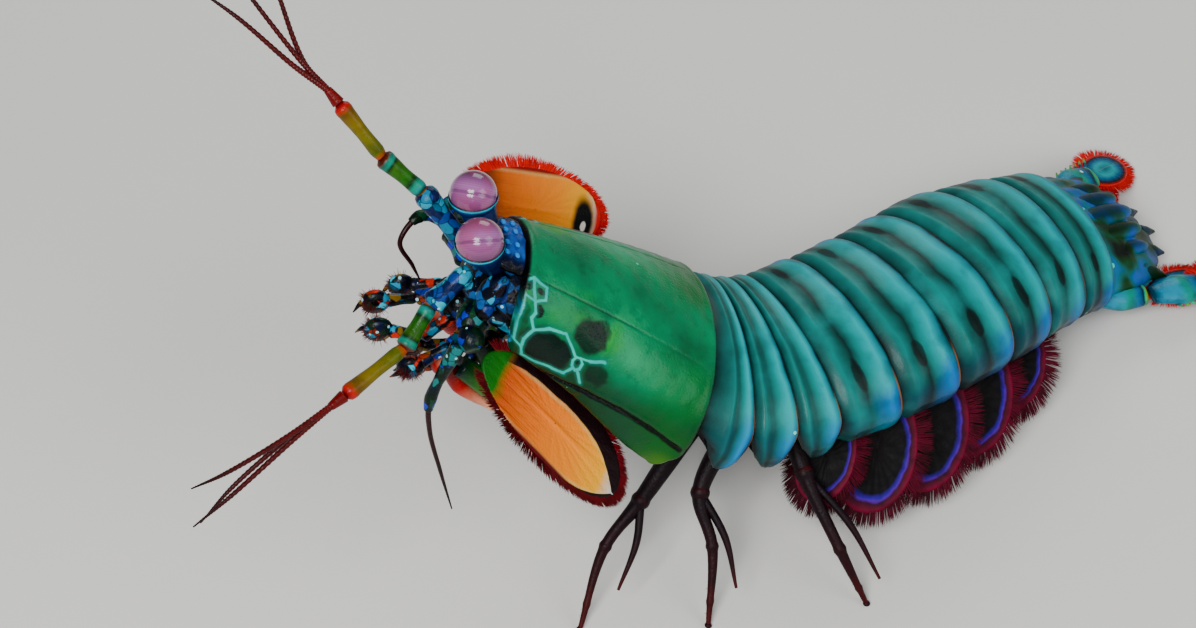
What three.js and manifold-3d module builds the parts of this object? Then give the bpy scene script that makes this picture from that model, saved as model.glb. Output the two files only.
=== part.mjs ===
// A mantis shrimp, life size, standing on the floor with its front raised and its body bent to one side.
// Millimetres, +Z up. The head points to -X, the animal's left side faces -Y, and its feet and tail fan
// rest on z = 0. The origin is under the middle of the whole model.
import * as THREE from 'three';
import { mergeVertices } from 'three/addons/utils/BufferGeometryUtils.js';
import Module from 'manifold-3d';

const wasm = await Module();
wasm.setup();

// Driving sizes of the body, for an animal of about 140 mm from the eyes to the tip of the tail fan
const CARAPACE_LENGTH = 30;
const CARAPACE_FRONT_HALF_WIDTH = 8.5;
const CARAPACE_FRONT_HEIGHT = 7.5;
const CARAPACE_BULGE = 0.7;
const SHELL_THICKNESS = 1.2;
const GAP = 0.4;
const JUNCTION_HEIGHT = 27;
const ORIGIN_SHIFT = new THREE.Vector3(-13.1, -13.28, 0);
const SHELL_SIDE_ANGLE = 108;

// Distance behind the carapace, in mm, with the value of the body's bend, twist and section there
const YAW = [[0, 7], [7.5, 13.5], [17.5, 29], [44, 45.5], [71, 36], [88, 30]];
const PITCH = [[0, -40], [7.5, -18], [17.5, -6], [44, -12], [71, -21], [88, -27]];
const ROLL = [[0, 0], [20, 5], [88, 10]];
const HALF_WIDTH = [[0, 15.3], [20, 14.4], [50, 14.4], [71, 11.8], [88, 10]];
const HEIGHT = [[0, 9.4], [20, 7.6], [50, 8.8], [71, 7], [88, 3]];

const THORAX = [
  { name: 'thorax_6', start: 2.5, end: 7.5 },
  { name: 'thorax_7', start: 7.5, end: 12.5 },
  { name: 'thorax_8', start: 12.5, end: 17.5 },
];
const ABDOMEN_START = 17.5;
const ABDOMEN_LENGTHS = [8.5, 9, 9.5, 9.5, 9.5, 7.5];
const TELSON_START = 71;

const COLOURS = {
  green: 0x0a7a4a, teal: 0x0b8f8c, blue: 0x1466b4, cyan: 0x2fd0dc, olive: 0x8c8f12, red: 0xa31420,
  orange: 0xf39a0b, maroon: 0x4a0f24, purple: 0x8d5f93, magenta: 0x8b1240, dark: 0x1a1020,
};

const DEG = Math.PI / 180;
const SIDES = [{ side: -1, word: 'left' }, { side: 1, word: 'right' }];

const group = new THREE.Group();
const solids = new Map();

function lookUp(knots, at) {
  const last = knots[knots.length - 1];
  if (at <= knots[0][0]) return knots[0][1];
  if (at >= last[0]) return last[1];
  const k = knots.findIndex(([x]) => x > at);
  const [x0, y0] = knots[k - 1];
  const [x1, y1] = knots[k];
  return y0 + ((y1 - y0) * (at - x0)) / (x1 - x0);
}

// The body's own directions at a distance behind the carapace: back, right and up
function directionsAt(s) {
  const yaw = lookUp(YAW, s) * DEG;
  const pitch = lookUp(PITCH, s) * DEG;
  const roll = lookUp(ROLL, s) * DEG;
  const back = new THREE.Vector3(Math.cos(yaw), Math.sin(yaw), 0).multiplyScalar(Math.cos(pitch));
  back.z = Math.sin(pitch);
  const level = new THREE.Vector3(-Math.sin(yaw), Math.cos(yaw), 0);
  const upright = new THREE.Vector3().crossVectors(back, level);
  const right = level.clone().multiplyScalar(Math.cos(roll)).addScaledVector(upright, Math.sin(roll));
  const up = upright.clone().multiplyScalar(Math.cos(roll)).addScaledVector(level, -Math.sin(roll));
  return { back, right, up };
}

const STEP = 0.25;
const AXIS = [new THREE.Vector3(0, 0, JUNCTION_HEIGHT)];
for (let s = STEP; s <= 100; s += STEP) {
  AXIS.push(AXIS[AXIS.length - 1].clone().addScaledVector(directionsAt(s - STEP / 2).back, STEP));
}

function frameAt(s) {
  const directions = directionsAt(s);
  if (s <= 0) return { ...directions, origin: AXIS[0].clone().addScaledVector(directions.back, s) };
  const k = Math.min(s / STEP, AXIS.length - 2);
  const whole = Math.floor(k);
  return { ...directions, origin: AXIS[whole].clone().lerp(AXIS[whole + 1], k - whole) };
}

// x to the animal's right, y forwards and z up from a place on the body's axis
function spot(frame, x, y, z) {
  return frame.origin.clone().addScaledVector(frame.right, x).addScaledVector(frame.back, -y)
    .addScaledVector(frame.up, z);
}

function halfWidthAt(s) {
  if (s >= 0) return lookUp(HALF_WIDTH, s);
  const t = Math.min(1, -s / CARAPACE_LENGTH);
  return HALF_WIDTH[0][1] + (CARAPACE_FRONT_HALF_WIDTH - HALF_WIDTH[0][1]) * t ** 1.25;
}

function heightAt(s) {
  if (s >= 0) return lookUp(HEIGHT, s);
  const t = Math.min(1, -s / CARAPACE_LENGTH);
  return HEIGHT[0][1] + (CARAPACE_FRONT_HEIGHT - HEIGHT[0][1]) * t + CARAPACE_BULGE * Math.sin(Math.PI * t);
}

// A point of the shell, by distance along the body, angle from the middle of the back, and depth under it
function shellPoint(s, angle, inset) {
  const a = angle * DEG;
  return spot(frameAt(s), (halfWidthAt(s) - inset) * Math.sin(a), 0, (heightAt(s) - inset) * Math.cos(a));
}

function closedGeometry(points, triangles) {
  const geometry = new THREE.BufferGeometry();
  const places = points.flatMap((p) => [p.x, p.y, p.z]);
  geometry.setAttribute('position', new THREE.Float32BufferAttribute(places, 3));
  let volume = 0;
  for (const [a, b, c] of triangles) volume += points[a].dot(points[b].clone().cross(points[c]));
  geometry.setIndex(triangles.flatMap(([a, b, c]) => (volume > 0 ? [a, b, c] : [a, c, b])));
  return geometry;
}

// A closed skin over rings of points, each end closed to its ring's middle point
function loft(rings) {
  const points = rings.flat();
  const count = rings[0].length;
  const triangles = [];
  for (let i = 0; i < rings.length - 1; i++) {
    for (let k = 0; k < count; k++) {
      const a = i * count + k;
      const b = i * count + ((k + 1) % count);
      triangles.push([a, b, b + count], [a, b + count, a + count]);
    }
  }
  for (const [row, turned] of [[0, true], [rings.length - 1, false]]) {
    const middle = rings[row].reduce((sum, p) => sum.add(p), new THREE.Vector3()).divideScalar(count);
    points.push(middle);
    for (let k = 0; k < count; k++) {
      const a = row * count + k;
      const b = row * count + ((k + 1) % count);
      triangles.push(turned ? [points.length - 1, b, a] : [points.length - 1, a, b]);
    }
  }
  return closedGeometry(points, triangles);
}

// A shield between an outer and an inner sheet of points, given as rows of equal length
function shield(outerRows, innerRows) {
  const points = [...outerRows.flat(), ...innerRows.flat()];
  const wide = outerRows[0].length;
  const rows = outerRows.length;
  const inner = rows * wide;
  const triangles = [];
  const quad = (a, b, c, d) => triangles.push([a, b, c], [a, c, d]);
  for (let i = 0; i < rows - 1; i++) {
    for (let k = 0; k < wide - 1; k++) {
      const a = i * wide + k;
      quad(a, a + 1, a + 1 + wide, a + wide);
      quad(inner + a + wide, inner + a + 1 + wide, inner + a + 1, inner + a);
    }
    const left = i * wide;
    const right = left + wide - 1;
    quad(left, left + wide, inner + left + wide, inner + left);
    quad(right, inner + right, inner + right + wide, right + wide);
  }
  for (let k = 0; k < wide - 1; k++) {
    const last = (rows - 1) * wide + k;
    quad(k, inner + k, inner + k + 1, k + 1);
    quad(last, last + 1, inner + last + 1, inner + last);
  }
  return closedGeometry(points, triangles);
}

// A limb: a tube through a few points, with its radius given at each and an oval section where flatter than 1
function limb(points, radii, { sides = 6, steps = 3, flat = 1, normal = new THREE.Vector3(0, 0, 1) } = {}) {
  const curve = new THREE.CatmullRomCurve3(points, false, 'centripetal');
  const rings = [];
  const count = (points.length - 1) * steps;
  for (let i = 0; i <= count; i++) {
    const t = i / count;
    const k = Math.min(Math.floor(t * (points.length - 1)), points.length - 2);
    const part = t * (points.length - 1) - k;
    const radius = radii[k] + (radii[k + 1] - radii[k]) * part;
    const tangent = curve.getTangent(t);
    const across = new THREE.Vector3().crossVectors(tangent, normal).normalize();
    const over = new THREE.Vector3().crossVectors(across, tangent).normalize();
    const centre = curve.getPoint(t);
    rings.push(Array.from({ length: sides }, (_, j) => {
      const a = (j / sides) * 2 * Math.PI;
      return centre.clone().addScaledVector(across, radius * Math.cos(a))
        .addScaledVector(over, radius * flat * Math.sin(a));
    }));
  }
  return loft(rings);
}

// A rounded solid of three half sizes, turned to a frame
function pebble(centre, right, forward, up, halfSizes, segments = 10, rows = 6) {
  const geometry = new THREE.SphereGeometry(1, segments, rows);
  geometry.scale(...halfSizes);
  const turn = new THREE.Matrix4().makeBasis(right, forward, up).setPosition(centre);
  geometry.applyMatrix4(turn);
  if (turn.determinant() < 0) {
    const index = geometry.getIndex();
    for (let i = 0; i < index.count; i += 3) {
      const held = index.getX(i);
      index.setX(i, index.getX(i + 1));
      index.setX(i + 1, held);
    }
  }
  return geometry;
}

// A thin leaf in the plane of along and across: thick in the middle, with tapered teeth on its edge.
// A tooth's root lies on the leaf's oval edge and its tip stands fringe mm outside it.
function leaf({
  root, along, across, length, width, thickness, edge, fringe = 0, teeth = 0, bare = 0.16, cup = 0, shape = 1,
}) {
  const face = new THREE.Vector3().crossVectors(along, across).normalize();
  const count = teeth > 0 ? teeth * 2 : 20;
  const rim = [];
  for (let k = 0; k < count; k++) {
    const a = (k / count) * 2 * Math.PI + Math.PI;
    const tip = teeth > 0 && k % 2 === 1 && Math.cos(a) > -1 + bare * 2;
    const x = (length / 2) * (1 + Math.cos(a)) + (tip ? fringe * Math.cos(a) : 0);
    const taper = 1 - 0.28 * shape * Math.cos(a);
    rim.push([x, (width / 2) * Math.sin(a) * taper + (tip ? fringe * Math.sin(a) : 0)]);
  }
  const layers = [[0.55, 1], [1, edge / thickness]];
  const points = [];
  const place = (x, y, z) => {
    const dish = cup * ((2 * y) / width) ** 2;
    return root.clone().addScaledVector(along, x).addScaledVector(across, y).addScaledVector(face, z + dish);
  };
  for (const sign of [1, -1]) {
    points.push(place(length / 2, 0, (sign * thickness) / 2));
    for (const [size, thick] of layers) {
      for (const [x, y] of rim) {
        points.push(place(length / 2 + (x - length / 2) * size, y * size, (sign * thick * thickness) / 2));
      }
    }
  }
  const half = 1 + 2 * count;
  const triangles = [];
  for (let k = 0; k < count; k++) {
    const n = (k + 1) % count;
    triangles.push([0, 1 + k, 1 + n]);
    triangles.push([1 + k, 1 + count + k, 1 + count + n], [1 + k, 1 + count + n, 1 + n]);
    triangles.push([half, half + 1 + n, half + 1 + k]);
    triangles.push([half + 1 + k, half + 1 + count + n, half + 1 + count + k]);
    triangles.push([half + 1 + k, half + 1 + n, half + 1 + count + n]);
    triangles.push([1 + count + k, half + 1 + count + k, half + 1 + count + n]);
    triangles.push([1 + count + k, half + 1 + count + n, 1 + count + n]);
  }
  return closedGeometry(points, triangles);
}

function solidOf(geometry) {
  const bare = geometry.clone();
  bare.deleteAttribute('normal');
  bare.deleteAttribute('uv');
  const merged = mergeVertices(bare, 1e-4);
  return new wasm.Manifold(new wasm.Mesh({
    numProp: 3,
    vertProperties: new Float32Array(merged.getAttribute('position').array),
    triVerts: new Uint32Array(merged.getIndex().array),
  }));
}

function largestOf(solid) {
  return solid.decompose().reduce((best, piece) => (piece.volume() > best.volume() ? piece : best));
}

function fuse(...geometries) {
  return largestOf(geometries.map(solidOf).reduce((sum, piece) => sum.add(piece)));
}

// The solid without the room that the other solids take, so that it ends face to face with them
function clearOf(solid, ...rooms) {
  return largestOf(rooms.reduce((left, room) => left.subtract(room), solid));
}

function addNode(name, solid, colour, roughness = 0.35) {
  const mesh = solid.getMesh();
  const geometry = new THREE.BufferGeometry();
  geometry.setAttribute('position', new THREE.BufferAttribute(new Float32Array(mesh.vertProperties), 3));
  geometry.setIndex(new THREE.BufferAttribute(new Uint32Array(mesh.triVerts), 1));
  geometry.translate(...ORIGIN_SHIFT.toArray());
  const material = new THREE.MeshStandardMaterial({ color: colour, roughness, metalness: 0.1 });
  const node = new THREE.Mesh(geometry, material);
  node.name = name;
  group.add(node);
  solids.set(name, solid);
}

// Angles round a somite's back, from the left hem to the right, and its belly as shares of the half width
// and height
const HOOP_ANGLES = Array.from({ length: 15 }, (_, k) => -SHELL_SIDE_ANGLE + (2 * SHELL_SIDE_ANGLE * k) / 14);
const BELLY = [[0.82, -0.22], [0.62, -0.34], [0.3, -0.42], [-0.3, -0.42], [-0.62, -0.34], [-0.82, -0.22]];
const LOBE_ANGLE = 66;

// One ring of a somite. A lobed one narrows to a round end on each flank, where it hangs free.
function somiteRing(start, end, share, inset, lobed, grow = 0) {
  const middle = (start + end) / 2;
  const half = (end - start) / 2 - GAP / 2 + grow;
  const along = (squeeze) => middle + (share * 2 - 1) * half * squeeze;
  const back = HOOP_ANGLES.map((angle) => {
    const past = Math.max(0, Math.abs(angle) - LOBE_ANGLE) / (SHELL_SIDE_ANGLE - LOBE_ANGLE);
    const squeeze = lobed ? Math.sqrt(1 - 0.82 * past * past) : 1;
    return shellPoint(along(squeeze), angle, inset - grow);
  });
  const belly = BELLY.map(([x, z]) => {
    const s = along(lobed ? 0.86 : 1);
    return spot(frameAt(s), x * (halfWidthAt(s) - inset) + grow * Math.sign(x), 0, z * heightAt(s) - grow);
  });
  return [...back, ...belly];
}

const SOMITE_ROWS = [[0, 1.1], [0.14, 0.35], [0.5, 0], [0.9, 0], [1, 0.35]];

function somiteSolid(start, end, lobed, grow = 0) {
  const rings = SOMITE_ROWS.map(([share, inset]) => somiteRing(start, end, share, inset, lobed, grow));
  return solidOf(loft(rings));
}

// Room that a limb leaves round the somites, so that its root ends just short of them
const bodyRoom = [];

for (const { name, start, end } of THORAX) {
  addNode(name, somiteSolid(start, end, true), COLOURS.teal);
  bodyRoom.push(somiteSolid(start, end, true, 0.3));
}
const abdomen = [];
let somiteStart = ABDOMEN_START;
ABDOMEN_LENGTHS.forEach((length, k) => {
  const somite = { name: `abdomen_${k + 1}`, start: somiteStart, end: somiteStart + length };
  abdomen.push(somite);
  addNode(somite.name, somiteSolid(somite.start, somite.end, false), COLOURS.teal);
  bodyRoom.push(somiteSolid(somite.start, somite.end, false, 0.3));
  somiteStart += length;
});

// Carapace: a shield with a groove along each flank above its turned-under hem
const HEM_GROOVE_ANGLE = 86;
const HEM_GROOVE_DEPTH = 0.55;
const CARAPACE_SIDE_ANGLES = [18, 35, 52, 68, 81, 86, 91, 99, 108];
const CARAPACE_ANGLES = [...CARAPACE_SIDE_ANGLES.map((angle) => -angle).reverse(), 0, ...CARAPACE_SIDE_ANGLES];
const CARAPACE_SHARES = [0, 0.04, 0.16, 0.34, 0.52, 0.7, 0.86, 0.96, 1];

function carapaceRow(share, depth) {
  return CARAPACE_ANGLES.map((angle) => {
    const flank = Math.abs(angle) / SHELL_SIDE_ANGLE;
    const front = -CARAPACE_LENGTH + 3.2 * flank ** 3;
    const rear = -0.6 + 1.6 * flank ** 4;
    const s = front + (rear - front) * share;
    const groove = Math.abs(angle) === HEM_GROOVE_ANGLE && share > 0.1 && share < 0.9 ? HEM_GROOVE_DEPTH : 0;
    const rim = share === 0 || share === 1 ? 0.3 : 0;
    return shellPoint(s, angle, depth + (depth > 0 ? -rim : groove + rim));
  });
}

addNode('carapace', solidOf(shield(
  CARAPACE_SHARES.map((share) => carapaceRow(share, 0)),
  CARAPACE_SHARES.map((share) => carapaceRow(share, SHELL_THICKNESS)),
)), COLOURS.green);

const carapaceRoom = solidOf(loft([0.01, 0.25, 0.5, 0.75, 1]
  .map((share) => CARAPACE_ANGLES.map((angle) => shellPoint(-CARAPACE_LENGTH * share, angle, -0.35)))));

// Cephalothorax: the flesh under the carapace, from the head to the hidden fifth somite
const FLESH_INSET = SHELL_THICKNESS + GAP;
const HEAD = frameAt(-CARAPACE_LENGTH);
const FLESH_ROWS = [
  [-33, 0.55], [-31.5, 0.78], [-29, 0.92], [-22, 1], [-12, 1], [-4, 0.92], [1, 0.86], [2.1, 0.84],
];

function fleshSolid(grow) {
  return solidOf(loft(FLESH_ROWS.map(([s, size]) => {
    const place = frameAt(s);
    const wide = (halfWidthAt(s) - FLESH_INSET) * size + grow;
    const high = (heightAt(s) - FLESH_INSET) * size + grow;
    return Array.from({ length: 16 }, (_, k) => {
      const a = (k / 16) * 2 * Math.PI;
      const low = Math.cos(a) < 0;
      const rise = low ? 5.6 * size + grow : high;
      return spot(place, wide * Math.sin(a) * (low ? 0.9 : 1), 0, Math.cos(a) * rise);
    });
  })));
}

const mouth = pebble(spot(HEAD, 0, 0.5, -5.5), HEAD.right, HEAD.back, HEAD.up, [3.4, 3, 2.4]);
addNode('cephalothorax', largestOf(fleshSolid(0).add(solidOf(mouth))), COLOURS.maroon);
const fleshRoom = fleshSolid(0.3);
const headRoom = largestOf(fleshRoom.add(solidOf(pebble(
  spot(HEAD, 0, 0.5, -5.5), HEAD.right, HEAD.back, HEAD.up, [3.7, 3.3, 2.7],
))));

// Rostral plate: a rounded shield lying over the eyestalks, in front of the carapace
const ROSTRUM = { length: 4.2, halfWidth: 4.6, thickness: 0.9 };
const rostrumRows = [0, 0.35, 0.7, 0.92, 1].map((share) => {
  const half = ROSTRUM.halfWidth * Math.sqrt(1 - (0.88 * share) ** 3);
  const rise = (x) => CARAPACE_FRONT_HEIGHT - 0.5 - 0.9 * x * x - 0.9 * share * share;
  return [-1, -0.6, -0.2, 0.2, 0.6, 1].map((x) => [x * half, share * ROSTRUM.length + 0.35, rise(x)]);
});
addNode('rostral_plate', solidOf(shield(
  rostrumRows.map((row) => row.map(([x, y, z]) => spot(HEAD, x, y, z))),
  rostrumRows.map((row) => row.map(([x, y, z]) => spot(HEAD, x, y, z - ROSTRUM.thickness))),
)), COLOURS.blue);
const swollenRostrum = (lift) => rostrumRows.map((row) => row.map(
  ([x, y, z]) => spot(HEAD, x * 1.08, y * 1.08 - 0.3, z + lift),
));
const rostrumRoom = solidOf(shield(swollenRostrum(0.3), swollenRostrum(-ROSTRUM.thickness - 0.3)));

// Eyes: a round cornea on a short stalk, whose rim cups it
const EYE = { x: 4.05, y: 8.1, z: 7.1, radius: 3.1 };
const EYESTALK = [[1.9, 2.2, 3.2], [2.9, 4.8, 4.6], [3.9, 7.1, 6.3]];
for (const { side, word } of SIDES) {
  const eye = spot(HEAD, side * EYE.x, EYE.y, EYE.z);
  const ball = (radius) => solidOf(
    pebble(eye, HEAD.right, HEAD.back, HEAD.up, [radius, radius, radius], 14, 8),
  );
  addNode(`eye_${word}`, ball(EYE.radius), COLOURS.purple, 0.15);
  const stem = EYESTALK.map(([x, y, z]) => spot(HEAD, side * x, y, z));
  const stalk = fuse(
    limb(stem, [1.7, 2, 2.5], { sides: 8, steps: 1 }),
    pebble(spot(HEAD, side * 3.95, 7, 6.3), HEAD.right, HEAD.back, HEAD.up, [3.2, 2.7, 2.8], 9, 6),
  );
  addNode(`eyestalk_${word}`, clearOf(stalk, ball(EYE.radius + 0.3), headRoom, rostrumRoom), COLOURS.cyan);
}

// Antennules: a jointed peduncle of three lengths and three whips, spread to each side of the head
const ANTENNULE = {
  left: {
    peduncle: [[-1.9, 4.4, 0.4], [-4.6, 6.6, -4.6], [-8.4, 7.3, -9.6], [-14, 12.4, -15.5]],
    whips: [
      [[-19, 16.6, -21.2], [-25, 21.3, -28.4], [-28.5, 24.4, -32.2]],
      [[-19.4, 17.8, -20.6], [-24.6, 24, -25.4], [-28, 28.4, -26.8]],
      [[-17.8, 16.4, -22.2], [-21.6, 19.6, -30.2], [-23.6, 20.4, -36]],
    ],
  },
  right: {
    peduncle: [[1.9, 4.6, 0.9], [3.6, 13.7, 4.3], [6, 20.1, 4.6], [9.5, 27.5, 6.3]],
    whips: [
      [[13, 34, 7.2], [17, 42.2, 9.2], [19.5, 47.2, 10.6]],
      [[13.4, 33, 6.8], [17.5, 39.2, 10.7], [20, 42.8, 13.4]],
      [[12.2, 34.6, 6.6], [15.4, 43, 7], [17.6, 49, 6.6]],
    ],
  },
};
const JOINT_SHARE = 0.12;
const rooms = {};

// A jointed stalk: each length swells in its middle and meets the next at a narrow knuckle
function jointed(frame, points, radii, sides = 6) {
  const path = points.map((p) => spot(frame, ...p));
  const parts = [];
  for (let k = 0; k < path.length - 1; k++) {
    const from = path[k];
    const to = path[k + 1];
    const r = radii[k];
    parts.push(limb([from.clone().lerp(to, -0.06), from.clone().lerp(to, JOINT_SHARE),
      from.clone().lerp(to, 1 - JOINT_SHARE), from.clone().lerp(to, 1.06)], [r * 0.6, r, r * 1.05, r * 0.55],
    { sides, steps: 1, normal: frame.up }));
  }
  return parts;
}

for (const { word } of SIDES) {
  const { peduncle, whips } = ANTENNULE[word];
  const stalk = fuse(...jointed(HEAD, peduncle, [1.45, 1.2, 1.05]));
  addNode(`antennule_${word}`, clearOf(stalk, headRoom), COLOURS.olive);
  const end = new THREE.Vector3(...peduncle[3]);
  const before = new THREE.Vector3(...peduncle[2]);
  const heading = end.clone().sub(before).normalize();
  const start = end.clone().addScaledVector(heading, 0.95);
  const knuckle = end.clone().addScaledVector(heading, 2.2);
  const threads = whips.map((points) => limb(
    [start, knuckle, ...points.map((p) => new THREE.Vector3(...p))].map((p) => spot(HEAD, p.x, p.y, p.z)),
    [0.5, 0.46, 0.36, 0.3, 0.12], { sides: 5, steps: 2, normal: HEAD.right },
  ));
  const whipRoot = limb([start, knuckle].map((p) => spot(HEAD, p.x, p.y, p.z)), [0.85, 0.6],
    { sides: 6, steps: 1, normal: HEAD.up });
  addNode(`antennule_whips_${word}`, fuse(whipRoot, ...threads), COLOURS.red);
  rooms[`antennule_${word}`] = stalk;
}

// Antennae: a stout jointed base on each side of the head, with a thin whip, and the great oval scale
const ANTENNA = {
  left: {
    base: [[-3.6, 1, -2.6], [-6.8, 1.4, -4], [-9.2, 0.4, -4.6]],
    whip: [
      [-8.6, 2, -5.6], [-9.6, -0.6, -14.8], [-10, -3.8, -19.1], [-10.4, -9.5, -24.3], [-10.8, -15.4, -29.4],
    ],
    scale: { root: [-9.8, -1.2, -4.6], along: [-0.25, -0.94, -0.2], across: [0.85, -0.3, 0.42] },
  },
  right: {
    base: [[3.6, 1, -2.6], [8, 3, -2.2], [12.4, 3.2, -1.6]],
    whip: [[8.4, 4, -1.6], [6, 10, -1.4], [4, 10.6, -4.6], [3.6, 7, -6.8], [3, 4.9, -8]],
    scale: { root: [13.2, 2.6, -1.2], along: [0.33, -0.94, 0], across: [0.72, 0.27, 0.64] },
  },
};
const SCALE_SIZE = {
  length: 26.5, width: 10.8, thickness: 1.2, edge: 0.5, fringe: 1.4, teeth: 17, shape: -0.25,
};

function direction(frame, [x, y, z]) {
  return new THREE.Vector3().addScaledVector(frame.right, x).addScaledVector(frame.back, -y)
    .addScaledVector(frame.up, z).normalize();
}

for (const { side, word } of SIDES) {
  const { base, whip, scale } = ANTENNA[word];
  const along = direction(HEAD, scale.along);
  const across = direction(HEAD, scale.across);
  across.addScaledVector(along, -across.dot(along)).normalize();
  const root = spot(HEAD, ...scale.root);
  const blade = (swell) => leaf({
    root: root.clone().addScaledVector(along, -swell), along, across, ...SCALE_SIZE,
    length: SCALE_SIZE.length + swell * 2, width: SCALE_SIZE.width + swell,
    thickness: SCALE_SIZE.thickness + swell * 2, edge: SCALE_SIZE.edge + swell * 2, cup: -side * 0.8,
  });
  const scaleSolid = solidOf(blade(0));
  addNode(`antennal_scale_${word}`, clearOf(scaleSolid, headRoom, carapaceRoom), COLOURS.orange);
  const thread = limb(whip.map((p) => spot(HEAD, ...p)), [0.75, 0.5, 0.42, 0.36, 0.14],
    { sides: 4, steps: 2, normal: HEAD.right });
  const antenna = fuse(...jointed(HEAD, base, [2, 1.7]), thread);
  const taken = [headRoom, carapaceRoom, solidOf(blade(0.3)), rooms[`antennule_${word}`]];
  addNode(`antenna_${word}`, clearOf(antenna, ...taken), COLOURS.cyan);
}

// Raptorial claws: folded under the carapace, the arm back, the hand forward and the club under the hand
const CLAW = {
  arm: [[4.6, -3, -6.3], [6.6, -9, -8.6], [7.6, -17, -8.4]],
  hand: [[7.9, -18.6, -10.4], [6.4, -12, -11.8], [4.9, -3.4, -11.6]],
  club: [[4.6, -1.6, -12], [5, -5.6, -14.5], [6.2, -11.4, -14.8]],
};
for (const { side, word } of SIDES) {
  const at = ([x, y, z]) => spot(HEAD, side * x, y, z);
  const arm = limb(CLAW.arm.map(at), [1.8, 2.4, 1.6], { sides: 8, steps: 2, normal: HEAD.up });
  const hand = limb(CLAW.hand.map(at), [1.3, 1.9, 1.4], { sides: 8, steps: 2, normal: HEAD.up });
  const club = fuse(
    limb(CLAW.club.map(at), [1, 1.1, 0.4], { sides: 7, steps: 2, normal: HEAD.up }),
    pebble(at([4.5, -1.7, -12.9]), HEAD.right, HEAD.back, HEAD.up, [1.5, 1.6, 1.5], 9, 6),
  );
  const armRoom = limb(CLAW.arm.map(at), [2.1, 2.7, 1.9], { sides: 8, steps: 2, normal: HEAD.up });
  const handRoom = limb(CLAW.hand.map(at), [1.6, 2.2, 1.7], { sides: 8, steps: 2, normal: HEAD.up });
  addNode(`claw_arm_${word}`, clearOf(solidOf(arm), headRoom), COLOURS.green);
  addNode(`claw_hand_${word}`, clearOf(solidOf(hand), solidOf(armRoom)), COLOURS.green);
  addNode(`claw_club_${word}`, clearOf(club, solidOf(handRoom)), COLOURS.red);
}

// Maxillipeds: slim jointed feeding limbs, each with a round flat hand and a hooked tip
const FEEDING_LIMBS = [
  { number: 3, path: [[2.4, 1.2, -6.8], [3.2, 3, -11], [2.6, 6.4, -13]], radii: [1, 0.85], hand: 1.9 },
  { number: 4, path: [[1.8, -1.8, -6.6], [5.4, 0.2, -8.8], [6.6, 2.6, -12.2]], radii: [1, 0.85], hand: 1.8 },
  { number: 5, path: [[2, -6.4, -6], [1.7, -6.4, -13], [1.7, -2, -16.6]], radii: [0.95, 0.8], hand: 1.7 },
];
for (const { number, path, radii, hand } of FEEDING_LIMBS) {
  for (const { side, word } of SIDES) {
    const points = path.map(([x, y, z]) => [side * x, y, z]);
    const [, wrist, end] = points.map((p) => new THREE.Vector3(...p));
    const heading = end.clone().sub(wrist).normalize();
    const palm = end.clone().addScaledVector(heading, hand * 0.8);
    const tip = palm.clone().addScaledVector(heading, hand * 0.9);
    const hook = tip.clone().add(new THREE.Vector3(-side * 0.4, 0.2, -hand * 0.9));
    const at = (p) => spot(HEAD, p.x, p.y, p.z);
    const whole = fuse(
      ...jointed(HEAD, points, radii, 5),
      pebble(at(palm), HEAD.right, HEAD.back, HEAD.up, [hand * 0.62, hand, hand], 6, 5),
      limb([at(palm), at(tip), at(hook)], [0.5, 0.42, 0.12], { sides: 4, steps: 1, normal: HEAD.right }),
    );
    addNode(`maxilliped_${number}_${word}`, clearOf(whole, headRoom), COLOURS.cyan);
  }
}

// Walking legs: three pairs, each with a slim side branch, standing on a small flat at the floor
const FOOT_FLAT = 0.35;
const LEGS = [
  {
    at: 5,
    left: [[-3.9, -11.9, 12.5], [-8.6, -16.2, 8], [-11.9, -23.9, 0]],
    right: [[-2.4, 10.6, 13.6], [-8, 16, 8], [-13, 22, 0]],
  },
  {
    at: 10,
    left: [[3.9, -11, 13], [5.5, -16.2, 8], [5, -23.2, 0]],
    right: [[3, 12.6, 13.6], [-1, 19, 8], [-4, 26, 0]],
  },
  {
    at: 15,
    left: [[17.6, -8.4, 14], [22.4, -16, 7], [26, -19.6, 0]],
    right: [[7.6, 15, 13.6], [5, 22, 7.6], [3, 29, 0]],
  },
];
const FLOOR = solidOf(new THREE.BoxGeometry(400, 400, 40).translate(0, 0, -20));
for (const [index, leg] of LEGS.entries()) {
  for (const { side, word } of SIDES) {
    const frame = frameAt(leg.at);
    const [knee, shin, foot] = leg[word].map((p) => new THREE.Vector3(...p));
    const hip = spot(frame, side * 5, 0, -2.4);
    const sole = foot.clone().setZ(-0.6);
    const twigEnd = shin.clone().lerp(foot, 0.5).add(new THREE.Vector3(3.4, 0.6 * side, 0.6));
    const shank = limb([hip, knee, shin, sole], [1.7, 1.1, 0.75, FOOT_FLAT],
      { sides: 6, steps: 2, normal: new THREE.Vector3(1, 0, 0) });
    const twigMiddle = knee.clone().lerp(twigEnd, 0.5).add(new THREE.Vector3(0.9, 0, 0.5));
    const twig = limb([knee, twigMiddle, twigEnd], [0.6, 0.5, 0.25],
      { sides: 4, steps: 1, normal: new THREE.Vector3(1, 0, 0) });
    const joint = pebble(knee, frame.right, frame.back, frame.up, [1.3, 1.3, 1.3], 6, 4);
    const whole = clearOf(fuse(shank, joint, twig), ...bodyRoom, fleshRoom, FLOOR);
    addNode(`leg_${index + 1}_${word}`, whole, COLOURS.maroon);
  }
}

// Swimming flaps: five pairs under the abdomen, each a fringed leaf on a short stem, with gill threads
const FLAP = { thickness: 0.9, edge: 0.5, fringe: 1.4, teeth: 8, cup: 0.8, shape: -0.3, bare: 0.2 };
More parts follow.
